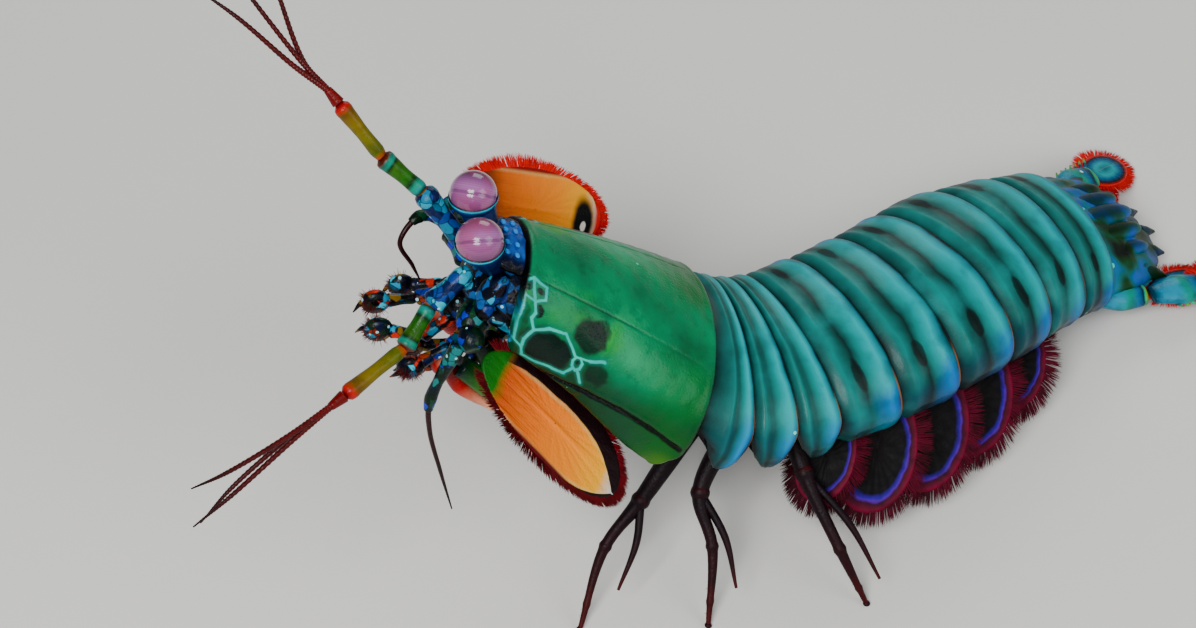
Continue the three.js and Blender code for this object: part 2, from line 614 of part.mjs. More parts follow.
// Each pair's place as a share of its somite, its length and its width
const FLAPS = [[0.55, 12.6, 7.6], [0.48, 17, 10.8], [0.38, 17.5, 11.4], [0.38, 16.5, 11], [0.38, 13.5, 9.4]];
// The left flaps beat forwards and the right ones backwards, which are drawn in by their share
const FLAP_BEAT = {
  left: { along: [-0.5, 0.54, -0.64], across: [-0.67, -0.74, 0], share: 1 },
  right: { along: [0.68, -0.2, -0.7], across: [0.5, 0.8, 0], share: 0.82 },
};
const GILL_THREADS = 2;
abdomen.slice(0, 5).forEach(({ start, end }, index) => {
  const [place, length, width] = FLAPS[index];
  for (const { side, word } of SIDES) {
    const beat = FLAP_BEAT[word];
    const frame = frameAt(start + (end - start) * place);
    const stem = spot(frame, side * 7.5, 0, -2);
    const along = direction(frame, beat.along);
    const across = direction(frame, beat.across);
    across.addScaledVector(along, -across.dot(along)).normalize();
    const root = stem.clone().addScaledVector(along, 1.6);
    const gills = Array.from({ length: GILL_THREADS }, (_, k) => {
      const from = root.clone().addScaledVector(across, (k - (GILL_THREADS - 1) / 2) * 1.3)
        .addScaledVector(along, 0.4);
      const tip = spot(frame, side * (4.4 + 0.5 * k), 1.4 - 0.8 * k, -6.6 - 0.5 * (k % 2));
      return limb([from, tip], [0.45, 0.2], { sides: 3, steps: 1, normal: frame.back });
    });
    const flap = fuse(
      limb([stem, root, root.clone().addScaledVector(along, 2.4)], [1.8, 1.6, 0.6],
        { sides: 5, steps: 1, normal: frame.back }),
      leaf({ root, along, across, length: length * beat.share, width, ...FLAP }),
      ...gills,
    );
    addNode(`swimmeret_${index + 1}_${word}`, clearOf(flap, ...bodyRoom, FLOOR), COLOURS.magenta);
  }
});

// Telson: the tail plate, with long rounded bosses on its back and three pairs of teeth
const TAIL = frameAt(TELSON_START);
const TELSON_LOW = -2;
const TELSON_ROWS = [
  [0.3, 10.4, 4.4], [1.2, 10.9, 5], [6, 11, 4.2], [11, 9.8, 2.9], [14.5, 7.4, 1.5], [16, 5.2, 0.7],
];
const telsonPlate = loft(TELSON_ROWS.map(([y, half, high]) => {
  const low = TELSON_LOW * (0.45 + (0.55 * high) / 5);
  return Array.from({ length: 16 }, (_, k) => {
    const a = (k / 16) * 2 * Math.PI;
    return spot(TAIL, half * Math.sin(a), -y, Math.cos(a) > 0 ? high * Math.cos(a) : -low * Math.cos(a));
  });
}));
const BOSSES = [
  [0, 2.4, 4.9, 1.5, 6.2], [2.9, 3.2, 4.5, 1.15, 5.6], [5.6, 3.6, 3.7, 1.05, 5], [8, 4, 2.3, 1, 4.4],
];
const telsonBosses = BOSSES.flatMap(([x, y, z, half, long]) => (x === 0 ? [1] : [1, -1]).map((side) => pebble(
  spot(TAIL, side * x, -y - long * 0.7, z - 1.2), TAIL.right, TAIL.back, TAIL.up, [half, long, 1.35], 6, 5,
)));
const TEETH = [[1.7, 15, 1.1, 3.6, 0.1], [5.1, 13.2, 1.3, 3.8, 0.25], [8.3, 9.6, 1.4, 4.2, 0.4]];
const telsonTeeth = (grow) => TEETH.flatMap(([x, y, radius, long, splay]) => [1, -1].map((side) => limb(
  [spot(TAIL, side * x, -y, 0.3), spot(TAIL, side * (x + splay * long), -y - long - grow, -0.1)],
  [radius + grow, 0.3 + grow], { sides: 5, steps: 1, normal: TAIL.up },
)));
const lastSomiteRoom = bodyRoom[bodyRoom.length - 1];
const telson = clearOf(fuse(telsonPlate, ...telsonBosses, ...telsonTeeth(0)), lastSomiteRoom, FLOOR);
addNode('telson', telson, COLOURS.green);
const telsonRoom = fuse(...telsonTeeth(0.4), loft(TELSON_ROWS.map(([y, half, high], k) => {
  const low = TELSON_LOW * (0.45 + (0.55 * high) / 5) - 0.3;
  const reach = y + (k === TELSON_ROWS.length - 1 ? 0.3 : 0) - (k === 0 ? 0.4 : 0);
  return Array.from({ length: 16 }, (_, j) => {
    const a = (j / 16) * 2 * Math.PI;
    const rise = Math.cos(a) > 0 ? (high + 0.3) * Math.cos(a) : -low * Math.cos(a);
    return spot(TAIL, (half + 0.35) * Math.sin(a), -reach, rise);
  });
})));

// Tail fan: on each side a base with a spine, an outer branch ending in a paddle, and an inner branch.
// rise is how far a side is turned up, per mm behind the telson's front, so that it lies along the floor.
const FAN = {
  base: [[8, 0.8, -1.6], [10.6, -4, -2.2], [11.8, -7.6, -2.2]],
  spine: [[10.2, -6, -3.2], [9.6, -12, -4], [8.8, -17.5, -4.2]],
  outer: [[12.4, -8.6, -2], [13.4, -12.4, -1.6], [14, -16.6, -1.8]],
  outerSpines: 5,
  tuck: { left: 1, right: 0.74 },
  rise: { left: 0.2, right: 0.06 },
  paddle: { root: [13.8, -15.2, -1.8], along: [0.16, -0.97, -0.08], length: 9.8, width: 6 },
  inner: { root: [11.2, -8.8, -3.2], along: [0.02, -0.99, -0.1], length: 12, width: 4.6 },
};
const PADDLE_SHAPE = { thickness: 0.9, edge: 0.5, fringe: 1.1, teeth: 9, shape: -0.2, bare: 0.18 };
for (const { side, word } of SIDES) {
  const tuck = FAN.tuck[word];
  const rise = FAN.rise[word];
  const at = ([x, y, z]) => spot(TAIL, side * x * tuck, y, z - y * rise);
  const turn = ([x, y, z]) => direction(TAIL, [side * x, y, z - y * rise]);
  const base = fuse(
    limb(FAN.base.map(at), [2.2, 2.4, 1.7], { sides: 7, steps: 1, flat: 0.7, normal: TAIL.up }),
    limb(FAN.spine.map(at), [1, 0.85, 0.25], { sides: 5, steps: 1, normal: TAIL.up }),
  );
  const outerPath = FAN.outer.map(at);
  const outer = limb(outerPath, [1.5, 2.6, 1.9], { sides: 7, steps: 1, flat: 0.5, normal: TAIL.up });
  const spines = Array.from({ length: FAN.outerSpines }, (_, k) => {
    const share = 0.25 + (0.75 * k) / (FAN.outerSpines - 1);
    const from = outerPath[0].clone().lerp(outerPath[2], share);
    const rim = turn([0.78, 0.3, 0]);
    const tip = from.clone().addScaledVector(rim, 2.6).addScaledVector(turn([0.4, -0.9, 0]), 2 + share);
    return limb([from.clone().addScaledVector(rim, 0.9), tip], [0.55, 0.18],
      { sides: 5, steps: 1, normal: TAIL.up });
  });
  const paddle = (part) => {
    const along = turn(part.along);
    const across = turn([0.86, 0.5, 0]);
    across.addScaledVector(along, -across.dot(along)).normalize();
    const { length, width } = part;
    return leaf({ root: at(part.root), along, across, length, width, ...PADDLE_SHAPE });
  };
  const baseSolid = clearOf(base, lastSomiteRoom, telsonRoom, FLOOR);
  const baseRoom = fuse(
    limb(FAN.base.map(at), [2.5, 2.7, 2], { sides: 7, steps: 1, flat: 0.75, normal: TAIL.up }),
    limb(FAN.spine.map(at), [1.3, 1.15, 0.55], { sides: 5, steps: 1, normal: TAIL.up }),
  );
  const outerRoom = solidOf(limb(outerPath, [1.8, 2.9, 2.2],
    { sides: 7, steps: 1, flat: 0.62, normal: TAIL.up }));
  const outerSolid = clearOf(fuse(outer, ...spines, paddle(FAN.paddle)), baseRoom, telsonRoom, FLOOR);
  addNode(`uropod_base_${word}`, baseSolid, COLOURS.cyan);
  addNode(`uropod_outer_${word}`, outerSolid, COLOURS.cyan);
  const innerSolid = clearOf(solidOf(paddle(FAN.inner)), baseRoom, outerRoom, telsonRoom, FLOOR);
  addNode(`uropod_inner_${word}`, innerSolid, COLOURS.red);
}

export default group;
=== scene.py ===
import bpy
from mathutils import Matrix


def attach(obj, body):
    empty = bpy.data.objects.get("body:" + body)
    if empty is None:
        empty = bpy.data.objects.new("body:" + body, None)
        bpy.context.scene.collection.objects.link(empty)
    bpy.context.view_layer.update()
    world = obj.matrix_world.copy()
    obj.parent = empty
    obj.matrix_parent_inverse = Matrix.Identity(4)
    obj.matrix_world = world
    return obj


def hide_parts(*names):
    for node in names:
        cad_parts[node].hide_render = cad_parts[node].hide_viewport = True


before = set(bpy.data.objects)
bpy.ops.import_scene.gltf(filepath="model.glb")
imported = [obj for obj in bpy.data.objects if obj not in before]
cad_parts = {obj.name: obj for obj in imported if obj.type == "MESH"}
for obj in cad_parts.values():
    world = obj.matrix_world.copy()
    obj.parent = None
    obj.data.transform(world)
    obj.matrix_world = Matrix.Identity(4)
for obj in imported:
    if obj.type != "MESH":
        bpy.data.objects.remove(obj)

"""A peacock mantis shrimp, life size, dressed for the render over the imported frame.

The animal stands with its front raised and its body bent to one side. Lengths are in millimetres in the
animal's own sizes, and each piece turns them into the frame's metres when its mesh is made.
"""
import logging
import math
from dataclasses import dataclass, field
from enum import Enum
from typing import Callable, Iterable, Sequence

import bmesh
import bpy
import numpy as np
from mathutils import Matrix, Vector

logging.basicConfig(level=logging.INFO, format="%(message)s")
log = logging.getLogger("mantis_shrimp")

Array = np.ndarray
Socket = bpy.types.NodeSocket
Point = tuple[float, float, float]
Numbers = np.ndarray | float
Value = bpy.types.NodeSocket | float
Node = bpy.types.Node
NodeTree = bpy.types.NodeTree

MM = 0.001
TURN = 2 * math.pi

# The body's driving sizes, the same as those of the solids
CARAPACE_LENGTH = 30.0
CARAPACE_FRONT_HALF_WIDTH = 8.5
CARAPACE_FRONT_HEIGHT = 7.5
CARAPACE_BULGE = 0.7
SHELL_THICKNESS = 1.2
GAP = 0.4
JUNCTION_HEIGHT = 27.0
ORIGIN_SHIFT = np.array([-13.1, -13.28, 0.0])
TELSON_START = 71.0

# The body's bends, width and height, each as pairs of distance behind the carapace's rear edge and value
YAW = ((0, 7), (7.5, 13.5), (17.5, 29), (44, 45.5), (71, 36), (88, 30))
PITCH = ((0, -40), (7.5, -18), (17.5, -6), (44, -12), (71, -21), (88, -27))
ROLL = ((0, 0), (20, 5), (88, 10))
HALF_WIDTH = ((0, 15.3), (20, 14.4), (50, 14.4), (71, 11.8), (88, 10))
HEIGHT = ((0, 9.4), (20, 7.6), (50, 8.8), (71, 7), (88, 3))

# The belly's section, in shares of the half width and of the height
BELLY = ((0.82, -0.22), (0.62, -0.34), (0.3, -0.42), (-0.3, -0.42), (-0.62, -0.34), (-0.82, -0.22))

# Angles from the middle of the back: a shell's lower edge, the top of a chest ring's lobe, a carapace's seam
SHELL_SIDE = 108.0
SHELL_SPAN = 2 * SHELL_SIDE
LOBE_ANGLE = 66.0
SEAM_ANGLE = 34.0

# The groove low on the carapace's side, as pairs of angle and share of the length
SIDE_GROOVE = ((106, 0.2), (97, 0.39), (92, 0.6), (91, 0.77), (94, 0.96))

# What the shell's whole span and the carapace's whole length measure on its cheek, for the net's lines
SPAN_MM = 41.0
SHARE_MM = 28.5

# The chest's rings with their starts and ends, and how far the first one reaches under the carapace
THORAX = (("thorax_6", 2.5, 7.5), ("thorax_7", 7.5, 12.5), ("thorax_8", 12.5, 17.5))
COLLAR = 3.0
ABDOMEN_START = 17.5
ABDOMEN_LENGTHS = (8.5, 9.0, 9.5, 9.5, 9.5, 7.5)

# The photograph's size, the camera's height angle and angle of view, its scale where the carapace meets the
# chest, and that place's pixel
PHOTO_SIZE = (1196, 628)
CAMERA_ELEVATION = 48.2
CAMERA_ANGLE = 20.0
PIXELS_PER_MM = 7.68
JUNCTION_PIXEL = (670.9, 359.1)

# How pigments differ from the colours that are seen, under this light
PIGMENT_SATURATION = 1.5
PIGMENT_DEPTH = 0.85
PIGMENT_POWER = 0.75


class Side(Enum):
    """The animal's two sides, with the sign of their x in the body's own directions."""

    LEFT = -1
    RIGHT = 1

    def __str__(self) -> str:
        """The side's name as the frame's nodes spell it."""
        return self.name.lower()


def sided(left: object, right: object) -> dict:
    """A dataclass field that holds a value for each side."""
    return field(default_factory=lambda: {Side.LEFT: left, Side.RIGHT: right})


def look_up(knots: Sequence[tuple[float, float]], at: Numbers) -> Array:
    """Reads a value that changes evenly between knots, which are pairs of place and value."""
    return np.interp(at, [k[0] for k in knots], [k[1] for k in knots])


def smooth(x: Numbers, low: float = 0.0, high: float = 1.0) -> Array:
    """A smooth step from 0 at low to 1 at high."""
    t = np.clip((np.asarray(x, float) - low) / (high - low), 0, 1)
    return t * t * (3 - 2 * t)


def bell(x: Numbers, middle: float, width: float) -> Array:
    """A bell curve of height 1, which has fallen to 0.37 at a width from its middle."""
    return np.exp(-(((np.asarray(x, float) - middle) / width) ** 2))


def unit(vector: Array) -> Array:
    """Scales one vector, or rows of them, to length 1."""
    vector = np.asarray(vector, float)
    return vector / np.maximum(np.linalg.norm(vector, axis=-1, keepdims=True), 1e-9)


def together(*values: Array) -> Array:
    """Stretches values to one shape and puts them side by side in a last direction."""
    return np.stack(np.broadcast_arrays(*values), -1)


def full_turn(count: int) -> Array:
    """Angles spread evenly round a circle, as one row."""
    return np.linspace(0, TURN, count, endpoint=False)[None]


def smooth_path(points: Sequence[Point] | Array, count: int) -> Array:
    """Runs a smooth curve through points, the same curve as the solids' limbs follow.

    Args:
        points: The points to pass.
        count: How many points to return, evenly spread in the curve's own parameter.

    Returns:
        The curve's points, one row each.
    """
    p = np.asarray(points, float)
    p = np.vstack([2 * p[0] - p[1], p, 2 * p[-1] - p[-2]])
    steps = np.sqrt(np.linalg.norm(np.diff(p, axis=0), axis=1))
    rows = []
    for t in np.linspace(0, len(p) - 3, count):
        k = min(int(t), len(p) - 4)
        x = t - k
        a, b, c, d = p[k : k + 4]
        d0, d1, d2 = steps[k : k + 3]
        start = ((b - a) / d0 - (c - a) / (d0 + d1) + (c - b) / d1) * d1
        end = ((c - b) / d1 - (d - b) / (d1 + d2) + (d - c) / d2) * d1
        rows.append(
            (2 * x**3 - 3 * x**2 + 1) * b + (x**3 - 2 * x**2 + x) * start
            + (3 * x**2 - 2 * x**3) * c + (x**3 - x**2) * end
        )
    return np.array(rows)


@dataclass(frozen=True)
class Place:
    """A place on the body, with the body's own directions there."""

    origin: Array
    right: Array
    back: Array
    up: Array

    def spot(self, x: Numbers, y: Numbers, z: Numbers) -> Array:
        """Finds points by their distances to the animal's right, forwards and up."""
        x, y, z = (np.asarray(a, float)[..., None] for a in (x, y, z))
        return self.origin + x * self.right - y * self.back + z * self.up

    def on(self, side: Side, point: Point) -> Array:
        """Finds a point on one side of the body from its place on the right side."""
        return self.spot(side.value * point[0], point[1], point[2])

    def section(self, x: Array, z: Array) -> Array:
        """Finds points across the body at a row of places, from their distances to the right and up."""
        return self.origin[:, None] + x[..., None] * self.right[:, None] + z[..., None] * self.up[:, None]

    def direction(self, x: float, y: float, z: float) -> Array:
        """Turns a direction given to the right, forwards and up into one of length 1."""
        return unit(x * self.right - y * self.back + z * self.up)


class Spine:
    """The body's bent axis, its twist, and its shell's section, as in the solids."""

    STEP = 0.25

    def __init__(self) -> None:
        """Adds up the axis from the carapace's rear edge to behind the telson."""
        self.at_points = np.arange(0, 100, self.STEP)
        back = self.directions(self.at_points + self.STEP / 2)[0]
        start = np.array([0, 0, JUNCTION_HEIGHT])
        self.points = start + np.vstack([np.zeros(3), np.cumsum(back * self.STEP, axis=0)[:-1]])

    def directions(self, s: Numbers) -> tuple[Array, Array, Array]:
        """The body's back, right and up at distances behind the carapace.

        Args:
            s: Distance behind the carapace's rear edge, below 0 under the carapace.

        Returns:
            The three directions.
        """
        yaw, pitch, roll = (np.radians(look_up(k, s))[..., None] for k in (YAW, PITCH, ROLL))
        back = np.concatenate([np.cos(yaw) * np.cos(pitch), np.sin(yaw) * np.cos(pitch), np.sin(pitch)], -1)
        level = np.concatenate([-np.sin(yaw), np.cos(yaw), np.zeros_like(yaw)], -1)
        upright = np.cross(back, level)
        return (
            back,
            level * np.cos(roll) + upright * np.sin(roll),
            upright * np.cos(roll) - level * np.sin(roll),
        )

    def at(self, s: Numbers) -> Place:
        """The place or places at distances behind the carapace."""
        s = np.asarray(s, float)
        back, right, up = self.directions(s)
        origin = np.stack([np.interp(s, self.at_points, self.points[:, k]) for k in range(3)], -1)
        origin = origin + np.minimum(s, 0)[..., None] * back
        return Place(origin, right, back, up)

    def half_width(self, s: Numbers) -> Array:
        """Half the shell's width at distances behind the carapace."""
        t = np.clip(-np.asarray(s, float) / CARAPACE_LENGTH, 0, 1)
        wide = HALF_WIDTH[0][1]
        return np.where(t > 0, wide + (CARAPACE_FRONT_HALF_WIDTH - wide) * t**1.25, look_up(HALF_WIDTH, s))

    def height(self, s: Numbers) -> Array:
        """The height of the shell's arch over the axis."""
        t = np.clip(-np.asarray(s, float) / CARAPACE_LENGTH, 0, 1)
        high = HEIGHT[0][1]
        under = high + (CARAPACE_FRONT_HEIGHT - high) * t + CARAPACE_BULGE * np.sin(math.pi * t)
        return np.where(t > 0, under, look_up(HEIGHT, s))

    def shell(self, s: Numbers, angle: Numbers, inset: Numbers = 0.0) -> Array:
        """A point of the shell.

        Args:
            s: Distance behind the carapace.
            angle: Degrees from the middle of the back, to the right.
            inset: Depth under the shell.

        Returns:
            The point or points, in the animal's millimetres.
        """
        s, angle, inset = np.broadcast_arrays(*(np.asarray(a, float) for a in (s, angle, inset)))
        a = np.radians(angle)
        x = (self.half_width(s) - inset) * np.sin(a)
        return self.at(s).spot(x, 0.0, (self.height(s) - inset) * np.cos(a))


SPINE = Spine()
HEAD = SPINE.at(-CARAPACE_LENGTH)
TAIL = SPINE.at(TELSON_START)


def linear(hex_colour: str) -> tuple[float, float, float, float]:
    """Turns a colour such as '#0a7a4a' into the shader's linear numbers."""
    parts = [int(hex_colour[k : k + 2], 16) / 255 for k in (1, 3, 5)]
    return (*[p / 12.92 if p <= 0.04045 else ((p + 0.055) / 1.055) ** 2.4 for p in parts], 1.0)


def pigment(hex_colour: str) -> tuple[float, float, float, float]:
    """Turns a colour as the eye sees it into the deeper pigment that shows it under the studio's light.

    Args:
        hex_colour: The colour as seen, such as '#0a7a4a'.

    Returns:
        The pigment's linear numbers: more saturated than the colour, and darker.
    """
    seen = np.array(linear(hex_colour)[:3])
    grey = float(seen @ np.array([0.2, 0.7, 0.1]))
    deep = np.clip(grey + (seen - grey) * PIGMENT_SATURATION, 0.0005, 1)
    deep = deep * deep.max() ** PIGMENT_POWER * PIGMENT_DEPTH
    return (*[float(c) for c in deep], 1.0)


class Nodes:
    """Adds shader nodes and joins them, so that a material reads like a formula."""

    def __init__(self, tree: NodeTree) -> None:
        """Keeps the tree to add to, and the colour so far, which paint and specks lay over."""
        self.tree = tree
        self.colour: Socket | None = None

    def add(self, kind: str, inputs: dict | None = None, **settings: object) -> Sequence[Socket]:
        """Adds a node, sets it up and feeds it.

        Args:
            kind: The node's type, without the leading 'ShaderNode'.
            inputs: Input name or number to value or socket.
            settings: The node's own settings.

        Returns:
            The new node's outputs.
        """
        node = self.tree.nodes.new("ShaderNode" + kind)
        for key, value in settings.items():
            setattr(node, key, value)
        self.feed(node, inputs or {})
        return node.outputs

    def feed(self, node: Node, inputs: dict) -> None:
        """Sets a node's inputs to numbers and colours, or joins them to other nodes' outputs.

        Args:
            node: The node.
            inputs: Input name or number to value or socket.
        """
        for key, value in inputs.items():
            if isinstance(value, Socket):
                self.tree.links.new(value, node.inputs[key])
            else:
                node.inputs[key].default_value = value

    def effect(self, effect: type["Effect"], inputs: dict) -> Sequence[Socket]:
        """Adds one of the shared effects, with its inputs by name, and gives its outputs."""
        return self.add("Group", inputs, node_tree=effect.tree())

    def math(self, operation: str, a: Value, b: Value = 0.0) -> Socket:
        """The result of a calculation on two values."""
        return self.add("Math", {0: a, 1: b}, operation=operation)[0]

    def times(self, *values: Value) -> Socket:
        """The product of values."""
        product = values[0]
        for value in values[1:]:
            product = self.math("MULTIPLY", product, value)
        return product

    def off(self, value: Socket, middle: float) -> Socket:
        """How far a value lies from a middle, on either side of it."""
        return self.math("ABSOLUTE", self.math("SUBTRACT", value, middle))

    def oval(self, at: Sequence[Socket], middle: Sequence[Value],
             half: Sequence[Value]) -> Socket:
        """How far a place lies from an oval's middle, 1 on its outline, from its middle and half sizes."""
        parts = [self.math("DIVIDE", self.math("SUBTRACT", a, m), h) for a, m, h in zip(at, middle, half)]
        return self.math("SQRT", self.math("ADD", *(self.times(part, part) for part in parts)))

    def vector(self, operation: str, a: Socket, b: Socket) -> Sequence[Socket]:
        """The vector and the number that a calculation on two vectors gives."""
        return self.add("VectorMath", {0: a, 1: b}, operation=operation)

    def scaled(self, vector: Socket, by: Value) -> Socket:
        """A vector, longer or shorter."""
        return self.add("VectorMath", {0: vector, 3: by}, operation="SCALE")[0]

    def mix(self, factor: Value, a: Socket | tuple, b: Socket | tuple) -> Socket:
        """A blend of two colours."""
        return self.add("Mix", {0: factor, 6: a, 7: b}, data_type="RGBA")[2]

    def paint(self, tint: str, mask: Value, strength: float = 1.0) -> None:
        """Lays a pigment, given as it is seen, over the colour so far, as well as mask and strength say."""
        share = mask if strength == 1 else self.times(mask, strength)
        self.colour = self.mix(share, self.colour, pigment(tint))

    def step(self, value: Socket, low: float, high: float) -> Socket:
        """A smooth step that rises from 0 at low to 1 at high, or falls where low is the larger."""
        feed = {0: value, 1: low, 2: high, 3: 0.0, 4: 1.0}
        return self.add("MapRange", feed, interpolation_type="SMOOTHSTEP")[0]

    def ramp(self, value: Socket, stops: Sequence[tuple[float, str]], sharp: bool = False) -> Socket:
        """A colour that changes with a value.

        Args:
            value: What the colour follows.
            stops: Pairs of value and colour.
            sharp: Whether the colour changes at once at each stop.

        Returns:
            The colour.
        """
        mixed = self.add("ValToRGB", {0: value})[0]
        ramp = mixed.node.color_ramp
        ramp.interpolation = "CONSTANT" if sharp else "LINEAR"
        while len(ramp.elements) < len(stops):
            ramp.elements.new(0.5)
        for element, (at, colour) in zip(ramp.elements, stops):
            element.position = at
            element.color = pigment(colour)
        return mixed

    def form(self) -> tuple[Socket, Socket]:
        """The piece's own u and v, which follow its shape."""
        split = self.add("SeparateXYZ", {0: self.add("UVMap", uv_map="Form")[0]})
        return split[0], split[1]

    def place(self) -> Socket:
        """The place in the frame, in metres."""
        return self.add("TexCoord")["Object"]

    def noise(self, scale: float, detail: float = 3.0, vector: Socket | None = None) -> Socket:
        """Soft noise from 0 to 1 at so many waves per metre, or per unit of another vector."""
        feed = {"Vector": vector or self.place(), "Scale": scale, "Detail": detail}
        return self.add("TexNoise", feed)[0]

    def patches(self, scale: float, low: float, high: float, detail: float = 3.0) -> Socket:
        """Soft patches: 0 where the noise is below low, 1 where it is above high."""
        return self.step(self.noise(scale, detail), low, high)

    def wander(self, scale: float, amount: float) -> Socket:
        """Soft noise on both sides of 0, to move an edge about."""
        return self.times(self.math("SUBTRACT", self.noise(scale), 0.5), amount)

    def specks(self, tint: str, scale: float, size: float, strength: float = 1.0) -> None:
        """Lays small round specks over the colour so far, so many to the metre and of a size from 0 to 1."""
        self.paint(tint, self.effect(Specks, {"Scale": scale, "Size": size})[0], strength)


class Effect:
    """A shader effect that several finishes share, as a node group that is built once."""

    inputs: tuple[tuple[str, str], ...] = ()
    outputs: tuple[tuple[str, str], ...] = (("Mask", "Float"),)
    _built: dict[str, NodeTree] = {}

    @classmethod
    def tree(cls) -> NodeTree:
        """The effect's group, made the first time that it is asked for."""
        name = cls.__name__
        if name not in Effect._built:
            tree = bpy.data.node_groups.new(name, "ShaderNodeTree")
            for in_out, sockets in (("INPUT", cls.inputs), ("OUTPUT", cls.outputs)):
                for label, kind in sockets:
                    tree.interface.new_socket(name=label, in_out=in_out, socket_type="NodeSocket" + kind)
            values = cls.values(Nodes(tree), tree.nodes.new("NodeGroupInput").outputs)
            leave = tree.nodes.new("NodeGroupOutput")
            for (label, _), value in zip(cls.outputs, values):
                tree.links.new(value, leave.inputs[label])
            Effect._built[name] = tree
        return Effect._built[name]

    @classmethod
    def values(cls, n: Nodes, enter: dict[str, Socket]) -> tuple[Socket, ...]:
        """What the group puts out, from its nodes and its inputs by name: a socket for each output."""
        raise NotImplementedError


class Specks(Effect):
    """Small round specks at random places, so many per metre and of a size from 0 to 1."""

    inputs = (("Scale", "Float"), ("Size", "Float"))
    left_out = 0.72

    @classmethod
    def values(cls, n: Nodes, enter: dict[str, Socket]) -> tuple[Socket, ...]:
        """The middles of a few cells, chosen by the cells' random colours."""
        cells = n.add("TexVoronoi", {"Vector": n.place(), "Scale": enter["Scale"]})
        near = n.math("LESS_THAN", cells["Distance"], enter["Size"])
        chosen = n.add("SeparateColor", {0: cells["Color"]})[0]
        return (n.times(near, n.math("GREATER_THAN", chosen, cls.left_out)),)


class Cheek(Effect):
    """The place on either flank of a shell: Side is away from the middle of its back, V is along it."""

    inputs = (("Wave", "Float"),)
    outputs = (("Side", "Float"), ("V", "Float"))
    waves_per_metre = 420.0

    @classmethod
    def values(cls, n: Nodes, enter: dict[str, Socket]) -> tuple[Socket, ...]:
        """The shell's own u and v, each moved about by its own noise."""
        u, v = n.form()
        feed = {"Vector": n.place(), "Scale": cls.waves_per_metre, "Detail": 2.0}
        parts = n.add("SeparateColor", {0: n.add("TexNoise", feed)["Color"]})
        return tuple(
            n.math("ADD", value, n.times(n.math("SUBTRACT", parts[part], 0.5), enter["Wave"]))
            for part, value in enumerate((n.off(u, 0.5), v))
        )


class Blot(Effect):
    """An oval mark on both flanks, soft at its edge."""

    inputs = tuple((label, "Float") for label in ("Side", "V", "Half Side", "Half V"))
    wave = 0.06
    edge = (1.1, 0.75)

    @classmethod
    def values(cls, n: Nodes, enter: dict[str, Socket]) -> tuple[Socket, ...]:
        """A step at the oval's outline."""
        at = n.effect(Cheek, {"Wave": cls.wave})
        reach = n.oval(at, (enter["Side"], enter["V"]), (enter["Half Side"], enter["Half V"]))
        return (n.step(reach, *cls.edge),)


class Strand(Effect):
    """A thin line on both flanks: the distance to it, over its width, from its two ends in millimetres."""

    inputs = (("From", "Vector"), ("To", "Vector"), ("Width", "Float"))
    outputs = (("Distance", "Float"),)
    wave = 0.012

    @classmethod
    def values(cls, n: Nodes, enter: dict[str, Socket]) -> tuple[Socket, ...]:
        """The distance from the place to the nearest point between the ends."""
        side, v = n.effect(Cheek, {"Wave": cls.wave})
        here = n.add("CombineXYZ", {0: n.times(side, SPAN_MM), 1: n.times(v, SHARE_MM)})[0]
        whole = n.vector("SUBTRACT", enter["To"], enter["From"])[0]
        part = n.vector("SUBTRACT", here, enter["From"])[0]
        along, total = n.vector("DOT_PRODUCT", part, whole)[1], n.vector("DOT_PRODUCT", whole, whole)[1]
        share = n.add("Math", {0: along, 1: total}, operation="DIVIDE", use_clamp=True)[0]
        off = n.vector("DISTANCE", part, n.scaled(whole, share))[1]
        return (n.math("DIVIDE", off, enter["Width"]),)


class Skin(Effect):
    """Fine pits and broad swells of shell: Fine and Coarse are their depths, and Normal bends the light."""

    inputs = (("Fine", "Float"), ("Coarse", "Float"))
    outputs = (("Normal", "Vector"),)
    pits_per_metre = 2600.0
    swells_per_metre = 420.0
    depth = 0.0001

    @classmethod
    def values(cls, n: Nodes, enter: dict[str, Socket]) -> tuple[Socket, ...]:
        """The relief's bent normal."""
        feed = {"Vector": n.place(), "Scale": cls.pits_per_metre}
        pits = n.add("TexVoronoi", feed, feature="SMOOTH_F1")[0]
        fine = n.times(n.step(pits, 0.0, 0.5), enter["Fine"])
        height = n.math("ADD", fine, n.times(n.noise(cls.swells_per_metre), enter["Coarse"]))
        return (n.add("Bump", {"Height": height, "Distance": cls.depth, "Strength": 1.0})[0],)


@dataclass(frozen=True)
class Finish:
    """A procedural surface: its own colours over the shared skin relief."""

    name: str
    roughness: float = 0.34
    coat: float = 0.06
    coat_roughness: float = 0.12
    shine: float = 0.13
    fine: float = 0.35
    coarse: float = 0.7

    def colour(self, n: Nodes) -> None:
        """Paints the surface with the material's nodes."""
        raise NotImplementedError

    def material(self) -> bpy.types.Material:
        """The finish's material, made the first time that it is asked for."""
        made = bpy.data.materials.get(self.name)
        if made:
            return made
        made = bpy.data.materials.new(self.name)
        made.use_nodes = True
        made.diffuse_color = (0.2, 0.5, 0.5, 1)
        n = Nodes(made.node_tree)
        uneven = {0: n.noise(900.0), 3: self.roughness * 0.75, 4: self.roughness * 1.35}
        self.colour(n)
        n.feed(n.tree.nodes["Principled BSDF"], {
            "Base Color": n.colour,
            "Normal": n.effect(Skin, {"Fine": self.fine, "Coarse": self.coarse})[0],
            "Roughness": n.add("MapRange", uneven)[0],
            "Specular IOR Level": self.shine,
            "Coat Weight": self.coat,
            "Coat Roughness": self.coat_roughness,
        })
        return made


